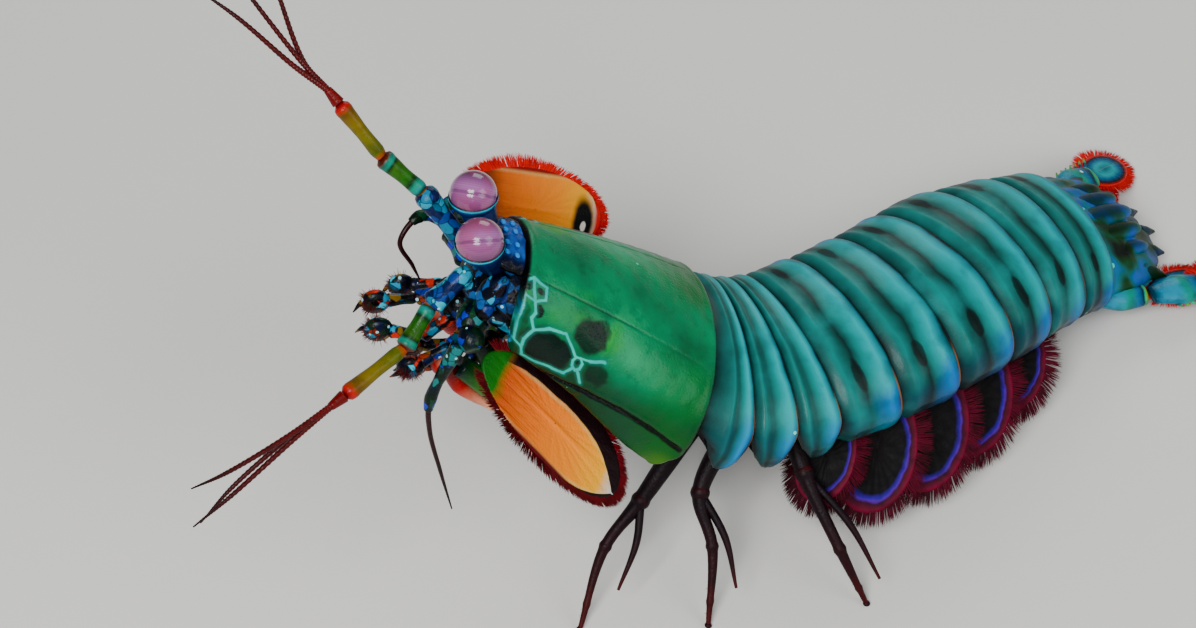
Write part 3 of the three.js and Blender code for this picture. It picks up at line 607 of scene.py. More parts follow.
@dataclass(frozen=True)
class Banded(Finish):
    """Colour bands along a piece's v that wander a little, with mottling and pale specks."""

    stops: tuple[tuple[float, str], ...] = ((0.0, "#808080"),)
    wander: float = 0.05
    mottle: float = 0.35
    mottle_scale: float = 500.0
    dark: str = "#02120f"
    speck: float = 0.0

    def colour(self, n: Nodes) -> None:
        """Bands, darkened here and there by a mottle, with specks over them.

        Args:
            n: The material's nodes.
        """
        _, v = n.form()
        n.colour = n.ramp(n.math("ADD", v, n.wander(300.0, self.wander)), self.stops)
        n.paint(self.dark, n.patches(self.mottle_scale, 0.42, 0.72, 4.0), self.mottle)
        if self.speck:
            n.specks("#e8f6ef", 230.0, self.speck)


@dataclass(frozen=True)
class Bristled(Banded):
    """Bristles: bands from the fringe's start to its end, with no coat and no relief of their own."""

    roughness: float = 0.5
    coat: float = 0.0
    fine: float = 0.0
    coarse: float = 0.0
    wander: float = 0.0
    mottle: float = 0.5


@dataclass(frozen=True)
class Patchwork(Finish):
    """Small patches of many colours with dark seams, as on the feeding limbs and the head."""

    palette: tuple[str, ...] = ("#808080",)
    scale: float = 700.0
    seam: str = "#0a0614"
    seam_width: float = 0.09
    shade: float = 0.35
    warp: float = 0.0011

    def colour(self, n: Nodes) -> None:
        """Patches at random, with seams, a soft shade and specks.

        Args:
            n: The material's nodes.
        """
        wave = n.add("TexNoise", {"Vector": n.place(), "Scale": 500.0})["Color"]
        feed = {"Vector": n.vector("ADD", n.place(), n.scaled(wave, self.warp))[0], "Scale": self.scale}
        pick = n.add("SeparateColor", {0: n.add("TexVoronoi", feed)["Color"]})[0]
        stops = [(k / len(self.palette), tint) for k, tint in enumerate(self.palette)]
        n.colour = n.ramp(pick, stops, sharp=True)
        edge = n.add("TexVoronoi", feed, feature="DISTANCE_TO_EDGE")[0]
        n.paint(self.seam, n.step(edge, self.seam_width, 0.0), 0.85)
        n.paint(self.seam, n.patches(260.0, 0.45, 0.7), self.shade)
        n.specks("#bff0f5", 900.0, 0.2, 0.8)


@dataclass(frozen=True)
class RingFinish(Finish):
    """A chest or tail ring: teal bands that turn blue down the flanks, and a tan hairline at its rear."""

    band: float = 0.45
    spot: float = 0.0
    blue: float = 0.7
    middle: str = "#025852"
    belly: str = "#3d1430"

    def colour(self, n: Nodes) -> None:
        """Bands across the back, blue ones on the flanks with painted shade low on them, and a dark spot at
        each end of the middle band.

        Args:
            n: The material's nodes.
        """
        u, v = n.form()
        along = n.math("ADD", v, n.wander(150.0, 0.26))
        n.colour = n.ramp(along, (
            (0.0, "#012c2a"), (0.1, "#037c78"), (0.25, "#04a09a"), (self.band - 0.07, "#03807a"),
            (self.band + 0.02, self.middle), (self.band + 0.14, "#04a09a"), (0.8, "#06bcc0"),
            (0.92, "#0494a0"),
            (0.97, "#013c3c"), (1.0, "#011a1a"),
        ))
        side = n.off(u, 0.5)
        flank = n.math("ADD", side, n.wander(200.0, 0.2))
        blue = n.ramp(along, (
            (0.0, "#021c30"), (0.3, "#034a70"), (0.5, "#02304a"), (0.7, "#0640a0"), (0.85, "#085cc0"),
            (1.0, "#021a30"),
        ))
        n.colour = n.mix(n.times(n.step(flank, 0.24, 0.36), self.blue), n.colour, blue)
        # Painted shade: the lower flank darkened towards the shell's lower edge.
        n.paint("#023834", n.step(flank, 0.36, 0.5), 0.85)
        n.paint("#02504c", n.patches(280.0, 0.48, 0.75, 5.0), 0.3)
        n.paint("#0ac4c0", n.patches(110.0, 0.5, 0.75, 4.0), 0.3)
        blot = n.effect(Blot, {"Side": 0.2, "V": self.band, "Half Side": 0.05, "Half V": 0.09})
        n.paint("#01241e", blot[0], self.spot)
        tan = n.times(
            n.step(v, 0.93, 0.95), n.step(side, 0.2, 0.27), n.step(v, 0.985, 0.97), n.step(side, 0.42, 0.36),
        )
        n.paint("#b07a2c", tan, 0.75)
        n.specks("#a8ece0", 260.0, 0.07)
        n.paint(self.belly, n.step(side, 0.508, 0.53))


@dataclass(frozen=True)
class Cell:
    """A dark patch on the carapace's cheek: its middle and half sizes, in degrees and shares of length."""

    angle: float
    share: float
    half_angle: float
    half_share: float
    depth: float = 1.0


Route = tuple[tuple[float, float], ...]


@dataclass(frozen=True)
class CarapaceFinish(Finish):
    """Emerald shell with a lime glow, and a cyan net round dark cells on each cheek.

    The net's lines are pairs of angle and share of the length; the fine ones close a small ring in it.
    """

    cells: tuple[Cell, ...] = (
        Cell(83, 0.175, 18, 0.125), Cell(54, 0.35, 14, 0.085, 0.95), Cell(47, 0.385, 9, 0.06, 0.8),
        Cell(78, 0.43, 10, 0.06, 0.8), Cell(41, 0.018, 6, 0.026), Cell(42, 0.075, 4, 0.022),
        Cell(57, 0.092, 5, 0.026), Cell(66, 0.03, 8, 0.03, 0.5), Cell(78, 0.333, 2, 0.016),
        Cell(77, 0.235, 10, 0.07), Cell(93, 0.13, 11, 0.07), Cell(79, 0.12, 8, 0.05),
    )
    net: tuple[Route, ...] = (
        ((74, 0.312), (62, 0.238), (66, 0.16), (74, 0.095), (87, 0.065), (96, 0.062), (103, 0.08),
        (100, 0.16),
         (95, 0.233), (92, 0.293)),
        ((71, 0.385), (66, 0.451)),
        ((84, 0.352), (91, 0.38)),
        ((74, 0.095), (66, 0.068), (60, 0.078), (52, 0.06)),
        ((52, 0.06), (51, 0.005), (40, -0.012), (34, 0.03), (37, 0.098), (47, 0.106), (52, 0.06), (44, 0.045),
         (34, 0.03)),
        ((51, 0.005), (60, 0.012), (74, 0.006), (92, 0.02), (96, 0.062)),
    )
    fine_net: tuple[Route, ...] = (
        ((74, 0.318), (73, 0.34), (76, 0.356), (81, 0.352), (84, 0.336), (82, 0.317), (78, 0.309),
        (74, 0.318)),
        ((73, 0.34), (71, 0.385)),
        ((92, 0.293), (83, 0.325)),
    )
    net_width: float = 0.27
    fine_width: float = 0.2
    groove_width: float = 0.62

    def colour(self, n: Nodes) -> None:
        """Greens that shift over the back, then the cells, the groove's painted shade and the net, and the
        shell's edges.

        Args:
            n: The material's nodes.
        """
        u, v = n.form()
        side = n.off(u, 0.5)
        greens = ((0.28, "#02684a"), (0.45, "#039670"), (0.6, "#04ac80"), (0.78, "#06c49a"))
        n.colour = n.ramp(n.noise(70.0, 5.0), greens)
        lime = n.effect(Blot, {"Side": 0.22, "V": 0.24, "Half Side": 0.12, "Half V": 0.26})[0]
        n.paint("#04ac10", n.times(lime, n.patches(95.0, 0.36, 0.56, 2.0)), 0.85)
        n.paint("#02583c", n.patches(600.0, 0.5, 0.8, 6.0), 0.35)
        n.paint("#015e3e", n.step(side, 0.22, 0.4), 0.9)
        rear = n.times(n.step(v, 0.55, 0.95), n.patches(80.0, 0.35, 0.6))
        n.paint("#028a2c", rear, 0.6)
        seam = n.times(n.step(n.off(side, SEAM_ANGLE / SHELL_SPAN), 0.006, 0.0), n.step(v, 0.62, 0.5))
        n.paint("#013a2c", seam, 0.6)
        for cell in self.cells:
            blot = n.effect(Blot, {
                "Side": cell.angle / SHELL_SPAN, "V": cell.share,
                "Half Side": cell.half_angle / SHELL_SPAN, "Half V": cell.half_share,
            })
            n.paint("#014438", blot[0], cell.depth * 0.97)
        # Painted shade: a near-black line laid along the side groove that is cut into the shell.
        groove = self._lines(n, (SIDE_GROOVE,), self.groove_width)
        n.paint("#010f0c", n.step(groove, 1.0, 0.55), 0.95)
        self._net(n)
        front = n.times(n.step(v, 0.02, 0.004), n.step(side, 0.16, 0.26), n.patches(520.0, 0.46, 0.58))
        n.paint("#2aa8d0", front, 0.85)
        n.paint("#011c18", n.times(n.step(v, 0.016, 0.004), n.step(side, 0.5, 0.2)))
        corner = n.times(n.step(side, 0.46, 0.52), n.step(v, 0.84, 1.0))
        n.paint("#6f9a10", corner, 0.8)
        n.specks("#98e8c8", 230.0, 0.05)

    def _net(self, n: Nodes) -> None:
        """Lays the net over the shell: cyan strands of uneven width, with a glow about them.

        Args:
            n: The material's nodes.
        """
        wide, fine = self._lines(n, self.net, self.net_width), self._lines(n, self.fine_net, self.fine_width)
        uneven = n.math("ADD", n.times(n.noise(330.0), 1.1), 0.45)
        net = n.math("DIVIDE", n.math("MINIMUM", wide, fine), uneven)
        n.paint("#0a9a86", n.step(net, 2.8, 0.6), 0.55)
        strand = n.mix(n.noise(500.0), pigment("#0fa8b0"), pigment("#48e4cc"))
        n.colour = n.mix(n.times(n.step(net, 1.15, 0.35), 0.9), n.colour, strand)

    def _lines(self, n: Nodes, routes: Sequence[Route], width: float) -> Socket:
        """The distance to the nearest of several lines.

        Args:
            n: The material's nodes.
            routes: Each line's places, in degrees and share.
            width: The length that counts as 1, in millimetres.

        Returns:
            The distance over the width.
        """
        far, blend = 99.0, 0.7
        nearest: Value = far
        for route in routes:
            ends = [(angle / SHELL_SPAN * SPAN_MM, share * SHARE_MM, 0) for angle, share in route]
            for start, end in zip(ends, ends[1:]):
                strand = n.effect(Strand, {"From": start, "To": end, "Width": width})[0]
                nearest = n.add("Math", {0: nearest, 1: strand, 2: blend}, operation="SMOOTH_MIN")[0]
        return nearest


@dataclass(frozen=True)
class EyeFinish(Finish):
    """A lavender cornea: fine lines of facets on each side of a thin dark middle band.

    The lines and the band's own finer ones are waves, by their turns in radians from pole to pole.
    """

    lines: float = 64 * math.pi
    band_lines: float = 560.0

    def colour(self, n: Nodes) -> None:
        """Lines that follow the band, dark poles painted as shade at the top and bottom of the eye's outline,
        a warm blush and the band with its own finer lines.

        Args:
            n: The material's nodes.
        """
        _, v = n.form()
        # Painted shade: darkest at both poles, which lie at the top and bottom of the eye's outline in the
        # camera's view, and lightest just above the middle.
        n.colour = n.ramp(v, (
            (0.0, "#30103a"), (0.18, "#783868"), (0.4, "#a8709c"), (0.58, "#b884b4"), (0.8, "#783868"),
            (1.0, "#30103a"),
        ))
        wave = n.math("SINE", n.times(v, self.lines))
        n.paint("#6b3a70", n.step(wave, 0.1, 0.9), 0.2)
        n.paint("#b0607c", n.patches(260.0, 0.42, 0.66), 0.5)
        band = n.step(n.off(v, 0.5), 0.03, 0.012)
        n.paint("#7d4a86", band, 0.35)
        rows = n.step(n.math("SINE", n.times(v, self.band_lines)), 0.3, 0.9)
        n.paint("#3a1b45", n.times(band, rows), 0.6)


@dataclass(frozen=True)
class ScaleFinish(Finish):
    """The antennal scale's blade: a green root, an orange field, a dark surround and an eye mark near its
    tip. The surround is the right blade's dark red rim; on the left blade it is painted shadow, widest on the
    side towards the body.

    The field is an oval: shift moves it across the blade, half is its half width and blunt squares its ends.
    """

    mark: float = 1.0
    shift: float = 0.2
    half: float = 0.8
    blunt: float = 3.0
    # The colour round the field: by default the left blade's painted shadow on the side towards the body; the
    # right blade sets its real dark red rim.
    margin: str = "#3a0c1e"
    border: str = "#7a0e28"
    tip: float = 0.0
    streak: float = 0.6
    root_shade: float = 0.0

    def colour(self, n: Nodes) -> None:
        """Colours and streaks along the blade (u), then the dark surround across it (v), painted shadow on
        the left blade, and the eye mark.

        Args:
            n: The material's nodes.
        """
        u, v = n.form()
        wander = n.wander(260.0, 0.1)
        along = n.math("ADD", u, wander)
        n.colour = n.ramp(along, (
            (0.0, "#0b7a2c"), (0.11, "#2f8f1b"), (0.17, "#c46400"), (0.4, "#dc8000"), (0.68, "#e89600"),
            (0.88, "#ecb428"), (1.0, "#d9e0e4"),
        ))
        drawn_out = n.add("CombineXYZ", {0: n.times(u, 2.0), 1: n.times(v, 26.0)})[0]
        streaks = n.step(n.noise(1.0, 2.0, drawn_out), 0.52, 0.68)
        near = n.times(n.step(along, 0.62, 0.2), n.step(along, 0.1, 0.16))
        n.paint("#7a3a04", n.times(streaks, near), self.streak)
        n.paint("#3a0a1c", n.step(along, 0.3, 0.14), self.root_shade)
        part = n.math("POWER", n.math("DIVIDE", n.off(u, 0.46), 0.52), self.blunt)
        narrow = n.math("MAXIMUM", n.math("SUBTRACT", 1.0, part), 0.02)
        across = n.math("DIVIDE", n.off(v, -self.shift), n.times(narrow, self.half))
        ratio = n.math("ADD", across, wander)
        n.paint("#e0cfa0", n.times(n.step(ratio, 0.8, 0.92), n.step(u, 0.1, 0.3)), 0.5)
        from_root = n.math("MAXIMUM", n.step(u, 0.08, 0.16), self.root_shade)
        # Round the field: the left blade's painted shadow on the side towards the body, and the right blade's
        # real dark red rim.
        n.paint(self.margin, n.times(n.step(ratio, 0.95, 1.0), from_root))
        n.paint(self.border, n.step(n.math("ABSOLUTE", v), 0.84, 0.95))
        n.paint("#c80a14", n.step(u, 0.93, 0.97), self.tip)
        dark = n.oval((u, v), (0.86, -0.12), (0.1, 0.75))
        n.paint("#0d0710", n.step(dark, 1.0, 0.55), self.mark)
        pale = n.oval((u, v), (0.865, -0.2), (0.022, 0.13))
        n.paint("#f4eee6", n.step(pale, 1.1, 0.7), self.mark)


@dataclass(frozen=True)
class TelsonFinish(Finish):
    """The tail plate: blue and green mottle that darkens to bottle green towards the teeth."""

    def colour(self, n: Nodes) -> None:
        """Greens and blues at random, a bright front edge and a dark end.

        Args:
            n: The material's nodes.
        """
        _, v = n.form()
        n.colour = n.ramp(n.noise(210.0, 1.5), (
            (0.3, "#033222"), (0.42, "#056c3e"), (0.5, "#048a86"), (0.6, "#0868b8"), (0.7, "#0490a0"),
        ))
        n.paint("#12a8b4", n.step(v, 0.22, 0.02), 0.7)
        dark = n.step(n.math("ADD", v, n.times(n.noise(200.0), 0.3)), 0.7, 1.05)
        n.paint("#03471f", dark, 0.85)
        n.specks("#8ff2ea", 260.0, 0.1)


EMERALD = CarapaceFinish("Carapace")
CHEST = RingFinish(
    "Chest_rings", roughness=0.42, fine=0.12, coarse=0.4, band=0.42, blue=0.5, middle="#037c78",
)
RINGS = RingFinish("Tail_rings", roughness=0.42, fine=0.12, coarse=0.4, spot=0.75)
CORNEA = EyeFinish("Cornea", roughness=0.16, coat=0.8, fine=0.1, coarse=0.1)
SCALE_LEFT = ScaleFinish("Scale_left", roughness=0.5, coat=0.0, shine=0.15, mark=0.0)
SCALE_RIGHT = ScaleFinish(
    "Scale_right", roughness=0.5, coat=0.0, shine=0.15, shift=0.0, half=0.97, blunt=7.0, margin="#8a0a14",
    border="#9a0a14", tip=1.0, streak=0.15, root_shade=0.95,
)
TAIL_PLATE = TelsonFinish("Tail_plate", roughness=0.45, fine=0.1, coarse=0.4)
HEAD_FLESH = Patchwork("Head_flesh", scale=750.0, shade=0.7, palette=(
    "#04163a", "#0a3f8a", "#0c6aa8", "#160a26", "#2aa8c8", "#2a0c30", "#06224a",
))
ROSTRUM_BLUE = Banded("Rostrum", mottle=0.55, mottle_scale=900.0, dark="#031a44", stops=(
    (0.0, "#0a58a8"), (0.5, "#0a66b4"), (0.75, "#052c68"), (0.92, "#021430"), (1.0, "#010a14"),
))
ROSTRUM_BEAD = Banded("Rostrum_beads", mottle=0.3, stops=((0.0, "#0f6fc8"), (1.0, "#2a98e0")))
STALK = Banded("Eyestalk", mottle=0.45, dark="#02122e", stops=(
    (0.0, "#04204e"), (0.55, "#083478"), (0.8, "#083a78"), (0.9, "#0a5aa0"), (0.94, "#1fa8c8"),
    (0.97, "#2fc0d0"),
    (1.0, "#0a2a4a"),
))
ANTENNULE_BASE = Patchwork("Antennule_base", scale=800.0, shade=0.4, seam="#04204a", palette=(
    "#0a4f9a", "#14a9c2", "#0f8fb0", "#0a2f6a", "#30c4d8", "#0d7a9a",
))
ANTENNULE_MIDDLE = Banded("Antennule_middle", wander=0.16, mottle=0.45, mottle_scale=700.0, stops=(
    (0.0, "#c9661a"), (0.06, "#b0701a"), (0.1, "#0a4a3a"), (0.16, "#14a8a0"), (0.24, "#1aa890"),
    (0.32, "#1c5a1a"),
    (0.42, "#4f8a1a"), (0.7, "#5a8a16"), (0.78, "#1c5a1a"), (0.84, "#14a890"), (0.91, "#1a9a8a"),
    (0.95, "#7a3a18"),
    (1.0, "#5d1808"),
))
ANTENNULE_END = Banded("Antennule_end", wander=0.14, mottle_scale=700.0, stops=(
    (0.0, "#8f2408"), (0.08, "#b0581a"), (0.16, "#7f8a1a"), (0.6, "#9a8a16"), (0.86, "#8a6a14"),
    (0.94, "#b5380e"),
    (1.0, "#7a1408"),
))
WHIP = Banded(
    "Whips", roughness=0.35, mottle=0.3, stops=((0.0, "#8a1a0c"), (0.3, "#7a0f12"), (1.0, "#3d0712")),
)
ANTENNA_SKIN = Patchwork("Antenna", scale=900.0, shade=0.4, seam="#04141a", palette=(
    "#0a3f4a", "#0e6a4a", "#2b3fb5", "#0d4a30", "#1a9a9a", "#0a2040",
))
THREAD = Banded("Antenna_thread", mottle=0.3, stops=((0.0, "#5a0f1a"), (1.0, "#3a0a14")))
MOUTH = Patchwork("Feeding_limbs", scale=1000.0, shade=0.55, palette=(
    "#1b3fa8", "#1aa0c0", "#0d5a3e", "#9a7a14", "#061a3a", "#c2480e", "#3a0c1c", "#5cc8e0", "#0a2a5a",
    "#16061a",
    "#0a4a4a", "#0c1030", "#a0481a", "#0a6a8a",
))
CLAW_SKIN = Banded("Claw", wander=0.25, mottle=0.45, speck=0.07, stops=(
    (0.0, "#0a2a20"), (0.4, "#0b6a3c"), (0.75, "#5d9a1c"), (1.0, "#0c4a4a"),
))
CLUB = Banded("Club", mottle=0.3, stops=((0.0, "#5f0d14"), (0.5, "#b3141a"), (1.0, "#e8b8a0")))
LEG_SKIN = Banded("Legs", roughness=0.5, coat=0.0, wander=0.2, mottle=0.45, speck=0.07, stops=(
    (0.0, "#2a0c24"), (0.45, "#3a0e26"), (0.8, "#4e0e1e"), (1.0, "#6a1c20"),
))
FLAP_SKIN = Banded(
    "Flaps", roughness=0.6, coat=0.0, shine=0.1, fine=0.15, coarse=0.3, wander=0.2, mottle=0.5, speck=0.06,
    stops=(
        (0.0, "#2a0a1c"), (0.35, "#12061a"), (0.7, "#1a0824"), (0.785, "#3a149a"), (0.81, "#5a20a0"),
        (0.85, "#5a0c38"), (1.0, "#8a1040"),
    ),
)
GILLS = Banded("Gills", roughness=0.5, coat=0.1, stops=((0.0, "#5a0a24"), (1.0, "#b02050")))
FAN_SKIN = Banded("Tail_fan", wander=0.25, mottle=0.5, dark="#02506a", speck=0.08, stops=(
    (0.0, "#04607a"), (0.12, "#049cb8"), (0.4, "#03a0b8"), (0.62, "#04b098"), (0.8, "#037ca8"),
    (0.92, "#043a52"),
    (0.96, "#2ac0a0"), (1.0, "#8ac04a"),
))
PADDLE_SKIN = Banded("Tail_paddle", mottle=0.3, stops=(
    (0.0, "#0a7f8f"), (0.4, "#11b7bd"), (0.66, "#0d6f9a"), (0.84, "#1a0d24"), (0.93, "#a80d18"),
    (1.0, "#d81422"),
))
FLAP_FRINGE = Bristled("Flap_fringe", roughness=0.55, mottle=0.6, dark="#1a0412", stops=(
    (0.0, "#5a0c28"), (1.0, "#7a1438"),
))
FRINGE_RED = Bristled("Fringe_red", mottle=0.3, dark="#5a0614", stops=((0.0, "#c20d1c"), (1.0, "#d81a2a")))
FRINGE_DARK = Bristled("Fringe_maroon", dark="#2a0614", stops=((0.0, "#7a1026"), (1.0, "#8c1430")))


class Form:
    """A mesh in the making, in the animal's millimetres, with u and v that follow its shape."""

    # A ball's end rings, in share of the way to its poles
    pole = 0.985
    # A bristle's rings, as shares of its length and of its thickness, and how its points' marks spread
    taper = ((-0.08, 1.0), (0.45, 0.75), (0.8, 0.45), (1.0, 0.1))
    mark_turn = 2.1
    mark_spread = 0.0014

    def __init__(self) -> None:
        """Starts with no points and no faces."""
        self.points: list[Array] = []
        self.marks: list[Array] = []
        self.faces: list[Array] = []
        self.finishes: list[Array] = []
        self.count = 0

    def _keep(self, points: Array, marks: Array, faces: Array, finish: int) -> None:
        """Adds points and faces whose numbers start at 0."""
        self.points.append(points.reshape(-1, 3))
        self.marks.append(marks.reshape(-1, 2))
        self.faces.append(faces + self.count)
        self.finishes.append(np.full(len(faces), finish))
        self.count += len(self.points[-1])

    def grid(self, points: Array, marks: Array, finish: int = 0, ring: bool = False,
             close: bool = False) -> None:
        """Adds a sheet of four-sided faces.

        Args:
            points: Rows and columns of points.
            marks: The u and v of each point.
            finish: The material's number in the piece's list.
            ring: Whether the last column joins the first.
            close: Whether the first and last rows are closed to their middles.
        """
        rows, wide = points.shape[:2]
        if close:
            ends = [np.repeat(points[k].mean(axis=0)[None], wide, axis=0) for k in (0, -1)]
            points = np.concatenate([ends[0][None], points, ends[1][None]])
            marks = np.concatenate([marks[:1], marks, marks[-1:]])
            rows += 2
        across = np.arange(wide if ring else wide - 1)
        first = (np.arange(rows - 1)[:, None] * wide + across).ravel()
        after = (np.arange(rows - 1)[:, None] * wide + (across + 1) % wide).ravel()
        faces = np.stack([first, after, after + wide, first + wide], -1)
        self._keep(np.asarray(points), np.asarray(marks), faces, finish)

    def rims(self, top: Array, under: Array, marks: Array) -> None:
        """Closes two sheets to each other along their four edges.

        Args:
            top: One sheet's rows and columns of points.
            under: The other's.
            marks: The u and v of each point of both.
        """
        for edge in (np.s_[0], np.s_[-1], np.s_[:, 0], np.s_[:, -1]):
            self.grid(np.stack([top[edge], under[edge]], 1), np.stack([marks[edge], marks[edge]], 1))

    def tube(self, path: Array, radii: Array, sides: int = 16, flat: float = 1.0,
             normal: Array | None = None, finish: int = 0, span: tuple[float, float] = (0.0, 1.0)) -> None:
        """Adds a closed tube along a path.

        Args:
            path: The middle line's points.
            radii: The radius at each point.
            sides: Points round the tube.
            flat: Height of the section over its width.
            normal: The direction that the section's height lies nearest to.
            finish: The material's number in the piece's list.
            span: The v at the path's two ends.
        """
        tangent = unit(np.gradient(path, axis=0))
        normal = HEAD.up if normal is None else np.asarray(normal, float)
        across = unit(np.cross(tangent, normal))
        over = np.cross(across, tangent)
        turn = full_turn(sides)[0]
        radii = np.asarray(radii, float)[:, None, None]
        section = (
            np.cos(turn)[None, :, None] * across[:, None]
            + flat * np.sin(turn)[None, :, None] * over[:, None]
        )
        v = np.linspace(*span, len(path))
        marks = together((turn / TURN)[None], v[:, None])
        self.grid(path[:, None] + radii * section, marks, finish, ring=True, close=True)

    def ball(self, place: Place, centre: Array, half_sizes: Point, rows: int = 16, wide: int = 24,
             finish: int = 0, shape: Callable[[Array], Array] | None = None) -> None:
        """Adds a rounded body.

        Args:
            place: Gives the body's own directions.
            centre: Its middle.
            half_sizes: Half its size to the right, forwards and up.
            rows: Rings from its lower to its upper pole.
            wide: Points round each ring.
            finish: The material's number in the piece's list.
            shape: Scales the radius, given the latitude in radians.
        """
        end = math.pi / 2 * self.pole
        latitude = np.linspace(-end, end, rows)[:, None]
        longitude = full_turn(wide)
        radius = 1.0 if shape is None else shape(latitude)
        x = half_sizes[0] * np.cos(latitude) * np.cos(longitude) * radius
        y = half_sizes[1] * np.cos(latitude) * np.sin(longitude) * radius
        z = half_sizes[2] * np.sin(latitude) * radius
        points = centre + x[..., None] * place.right - y[..., None] * place.back + z[..., None] * place.up
        marks = together(longitude / TURN, latitude / math.pi + 0.5)
        self.grid(points, marks, finish, ring=True, close=True)

    def strands(self, roots: Array, ways: Array, lengths: Array, width: float, marks: Array) -> None:
        """Adds tapered bristles, three-sided and closed, each with the mark of its root.

        Args:
            roots: Where each bristle starts.
            ways: The direction of each.
            lengths: The length of each.
            width: The thickness at the root.
            marks: The u and v of each root.
        """
        ways = unit(ways)
        helper = np.where(np.abs(ways[:, 2:3]) > 0.9, np.array([[1.0, 0, 0]]), np.array([[0, 0, 1.0]]))
        a = unit(np.cross(ways, helper))
        b = np.cross(ways, a)
        corners = []
        for share, thick in self.taper:
            middle = roots + ways * (lengths * share)[:, None]
            for turn in full_turn(3)[0]:
                corners.append(middle + (a * math.cos(turn) + b * math.sin(turn)) * width * thick / 2)
        points = np.stack(corners, 1)
        one = [[r + k, r + (k + 1) % 3, r + 3 + (k + 1) % 3, r + 3 + k] for r in (0, 3, 6) for k in range(3)]
        faces = (np.array(one)[None] + len(corners) * np.arange(len(roots))[:, None, None]).reshape(-1, 4)
        turns = np.arange(len(corners)) * self.mark_turn
        spread = np.stack([np.cos(turns), np.sin(turns)], -1) * self.mark_spread
        self._keep(points, marks[:, None] + spread[None], faces, 0)

    def build(self, name: str, slot: str, nodes: Iterable[str], finishes: Sequence[Finish],
              coat: bool = False) -> None:
        """Makes the piece and says what it stands for.

        Args:
            name: The piece's name.
            slot: The record's material slot; not used.
            nodes: The frame's nodes that it replaces.
            finishes: Its materials.
            coat: Whether it is a fringe of bristles, whose marks are their roots' places.
        """
        points = (np.concatenate(self.points) + ORIGIN_SHIFT) * MM
        points[:, 2] = np.maximum(points[:, 2], 0.0)
        faces = np.concatenate(self.faces)
        mesh = bpy.data.meshes.new(name)
        mesh.from_pydata(points.tolist(), [], faces.tolist())
        corners = np.zeros(len(mesh.loops), dtype=np.int32)
        mesh.loops.foreach_get("vertex_index", corners)
        marks = np.concatenate(self.marks)[corners].astype(np.float32).ravel()
        for layer in ("OFBake", "Form") if coat else ("Form",):
            mesh.uv_layers.new(name=layer).data.foreach_set("uv", marks)
        mesh.polygons.foreach_set("material_index", np.concatenate(self.finishes).astype(np.int32))
        mesh.polygons.foreach_set("use_smooth", np.ones(len(faces), dtype=bool))
        if not coat:
            self._weld(mesh)
        for finish in finishes:
            mesh.materials.append(finish.material())
        piece = bpy.data.objects.new(name, mesh)
        bpy.context.scene.collection.objects.link(piece)
        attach(piece, "root")
        names = list(nodes)
        if names:
            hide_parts(*names)
        log.info("%s: %d faces for %s", name, len(mesh.polygons), ", ".join(names) or "no node")

    @staticmethod
    def _weld(mesh: bpy.types.Mesh) -> None:
        """Joins points that lie in one place, and turns all faces outwards."""
        work = bmesh.new()
        work.from_mesh(mesh)
        bmesh.ops.remove_doubles(work, verts=work.verts, dist=1e-6)
        bmesh.ops.recalc_face_normals(work, faces=work.faces)
        work.to_mesh(mesh)
        work.free()


def smooth_radii(radii: Sequence[float], count: int) -> Array:
    """Spreads a few radii over a path's points, evenly between them."""
    return np.interp(np.linspace(0, len(radii) - 1, count), np.arange(len(radii)), radii)


